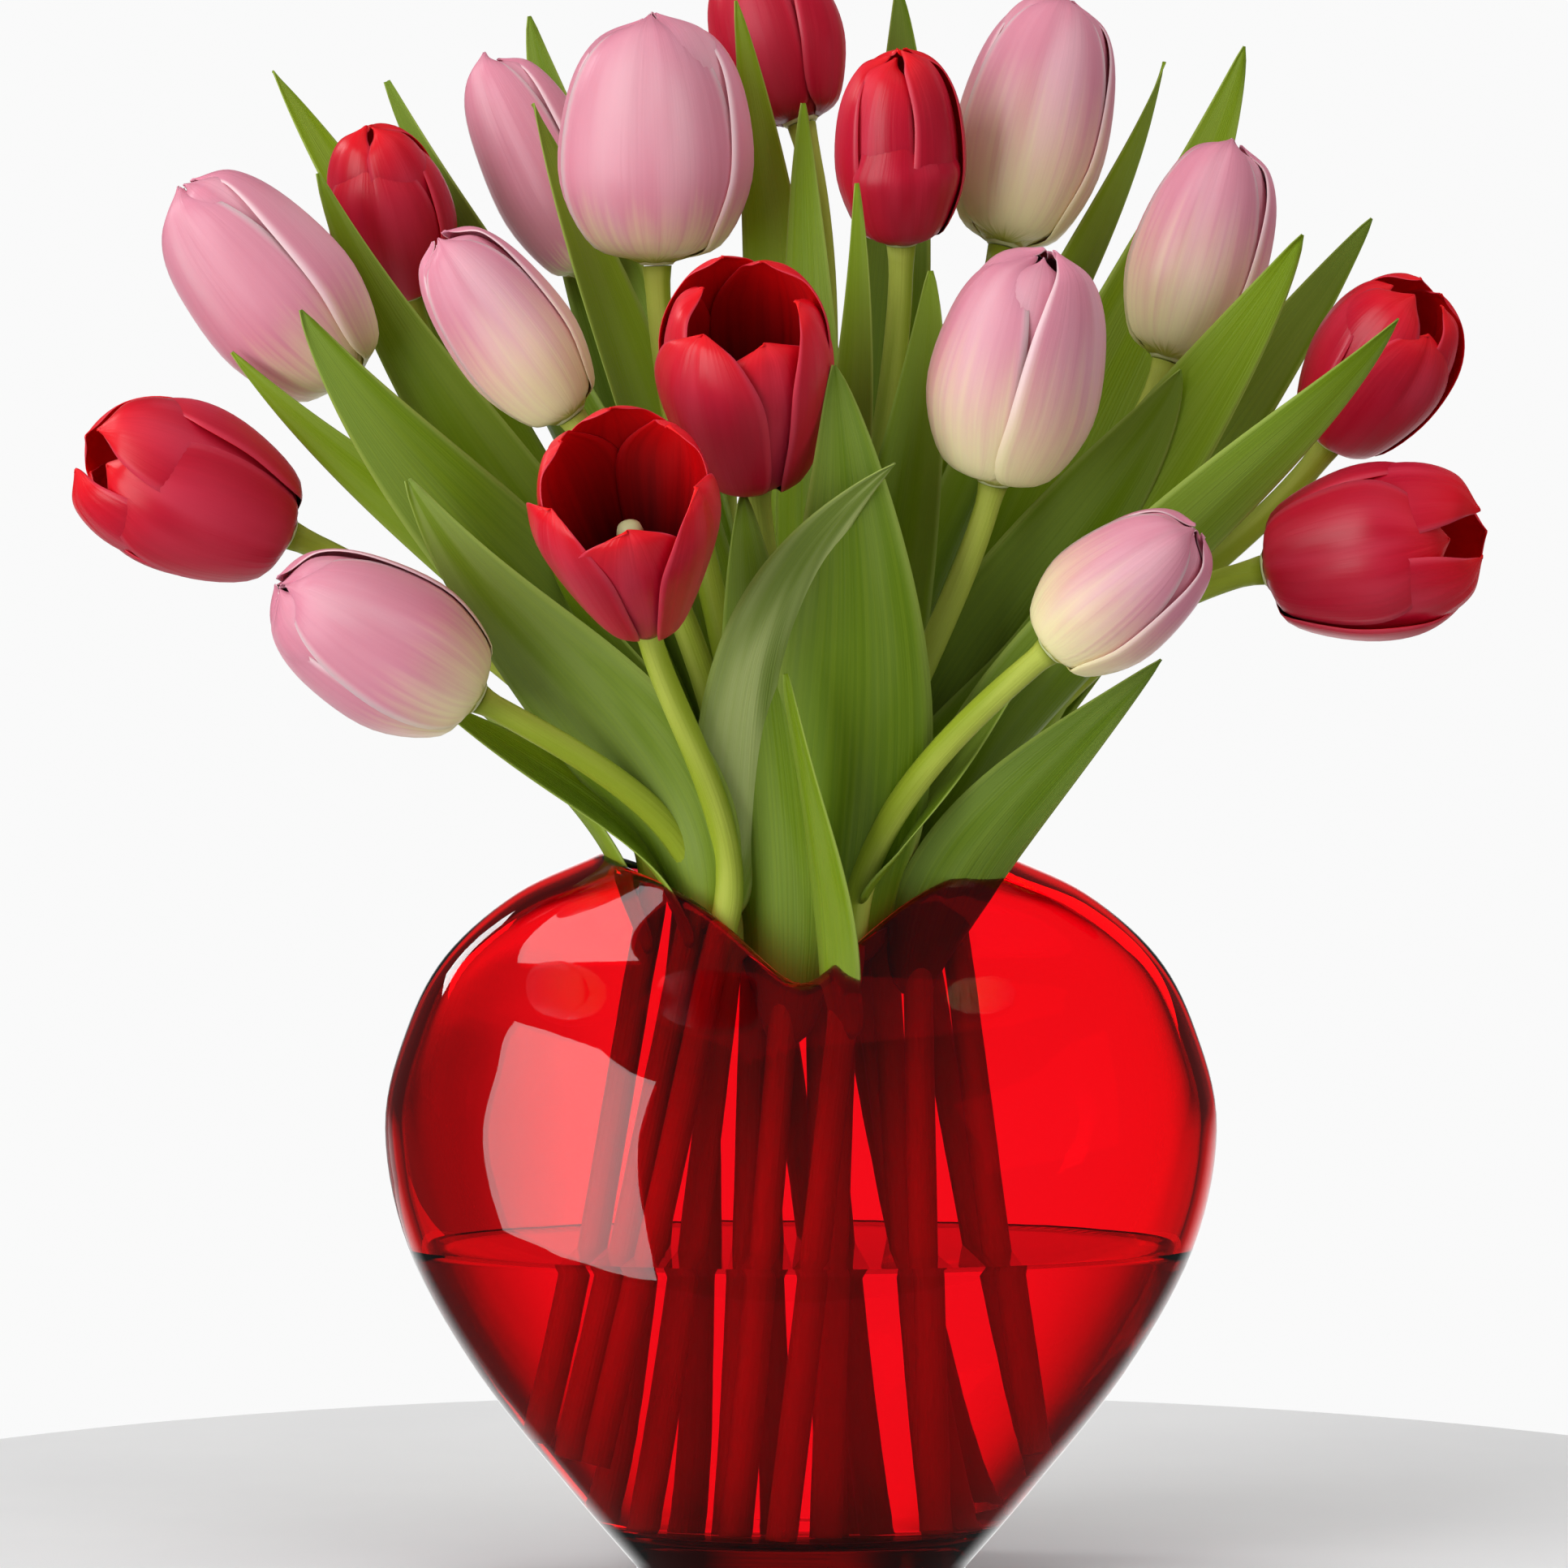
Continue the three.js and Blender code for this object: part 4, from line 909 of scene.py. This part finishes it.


# Each face's colours: body, lines, waxy bloom, margin (paler, partly a painted highlight), tip, root, and the
# last of the root.
RED_OUTSIDE = [
    colour(186, 12, 44),
    colour(146, 4, 28),
    colour(204, 48, 74),
    colour(214, 60, 82),
    colour(234, 8, 18),
    colour(170, 12, 42),
    colour(150, 20, 40),
]
# Inside a red bloom the root and its last colours are near black: partly the petal's own dark base, partly
# painted shade deep in the cup.
RED_INSIDE = [
    colour(236, 6, 14),
    colour(196, 2, 8),
    colour(230, 8, 16),
    colour(244, 18, 26),
    colour(252, 16, 20),
    colour(14, 1, 4),
    colour(8, 1, 3),
]
PINK_OUTSIDE = [
    colour(219, 142, 160),
    colour(202, 110, 134),
    colour(232, 178, 188),
    colour(246, 218, 220),
    colour(219, 132, 155),
    colour(243, 231, 176),
    colour(190, 186, 84),
]
PINK_INSIDE = [
    colour(228, 150, 170),
    colour(206, 114, 138),
    colour(232, 168, 182),
    colour(246, 210, 214),
    colour(228, 144, 168),
    colour(238, 230, 184),
    colour(186, 184, 98),
]
petal_looks = {
    "red": petal_material("red petal", RED_OUTSIDE, RED_INSIDE),
    "pink": petal_material("pink petal", PINK_OUTSIDE, PINK_INSIDE),
}

core_look, tree, shader = new_material("pistil green")
speck = node(tree, "ShaderNodeTexNoise", {"Scale": 900.0, "Detail": 2.0})
pistil_green = mixed(tree, speck.outputs[0], colour(176, 190, 110), colour(226, 226, 186))
tree.links.new(pistil_green, shader.inputs["Base Color"])
shader.inputs["Roughness"].default_value = 0.5

anther_look, tree, shader = new_material("anther purple")
dust = node(tree, "ShaderNodeTexNoise", {"Scale": 1500.0, "Detail": 3.0})
anther_purple = mixed(tree, dust.outputs[0], colour(18, 10, 22), colour(66, 44, 60))
tree.links.new(anther_purple, shader.inputs["Base Color"])
shader.inputs["Roughness"].default_value = 0.85

# Petals reach a share of the bloom's length that is drawn at random between two ends, for the outer and the
# inner ring: red outer petals are the shorter ones. In some blooms the outer and inner petals at the front
# end lower by a share of the length. The root colour reaches further up inside a bloom that is open wide;
# inside a red bloom it is near black, partly the petal's own dark base and partly painted shade deep in the
# cup.
HEIGHT_SHARES = {"red": ((0.84, 0.92), (0.97, 1.01)), "pink": ((0.97, 1.02), (0.97, 1.01))}
LOW_FRONTS = {9: (0.12, 0.15), 10: (0.04, 0.04), 11: (0.26, 0), 15: (0.14, 0)}
LOW_FRONT_HEIGHTS = (0.96, 1.01)
OPEN_ENOUGH = 0.3
WIDE_OPEN = 0.5
DEEP_ROOT_AND_CUP_SHADE, SHALLOW_ROOT = 0.7, 0.35
RECEPTACLE_HEIGHTS = np.array([-0.6, -0.59, 0.2, 1.2])
RECEPTACLE_RADII = [3.4, 3.7, 4.4, 3.8]
for number, (kind, _, base, tip, radius, open_share, turn, pale, _) in enumerate(TULIPS, 1):
    random = np.random.default_rng(100 + number)
    bloom = bloom_frame(base, tip)
    receptacle = bloom[1](0, 0, RECEPTACLE_HEIGHTS)
    parts = [tube(receptacle, RECEPTACLE_RADII, 24, material=1, **HEART_VALUES)]
    # Painted shade: in a wide open red bloom the dark root reaches further up the inner faces.
    deep = DEEP_ROOT_AND_CUP_SHADE if open_share > WIDE_OPEN else SHALLOW_ROOT
    for k in range(6):
        inner = k % 2 == 1
        centre = math.radians(turn + 60 * k)
        heights = LOW_FRONT_HEIGHTS if number in LOW_FRONTS else HEIGHT_SHARES[kind][inner]
        height_share = random.uniform(*heights)
        dip = LOW_FRONTS.get(number, (0, 0))[inner] * smooth(math.cos(centre), -0.3, 0.4)
        surface = petal_surface(bloom, radius, open_share, centre, inner, height_share, dip, random)
        values = {"tone": random.random(), "cream": pale, "inside": 0.0, "deep": deep}
        petal = blade(surface, *PETAL_STEPS, petal_thickness, TIP_CROWDING, **values)
        half = len(petal["points"]) // 2
        petal["values"]["inside"][half:] = 1.0
        parts.append(petal)
    if open_share >= OPEN_ENOUGH:
        parts += heart_parts(bloom, radius, turn, open_share)
    name = f"tulip_{number:02d}_bloom"
    make_piece(f"{name}_petals", parts, [petal_looks[kind], core_look, anther_look], name)
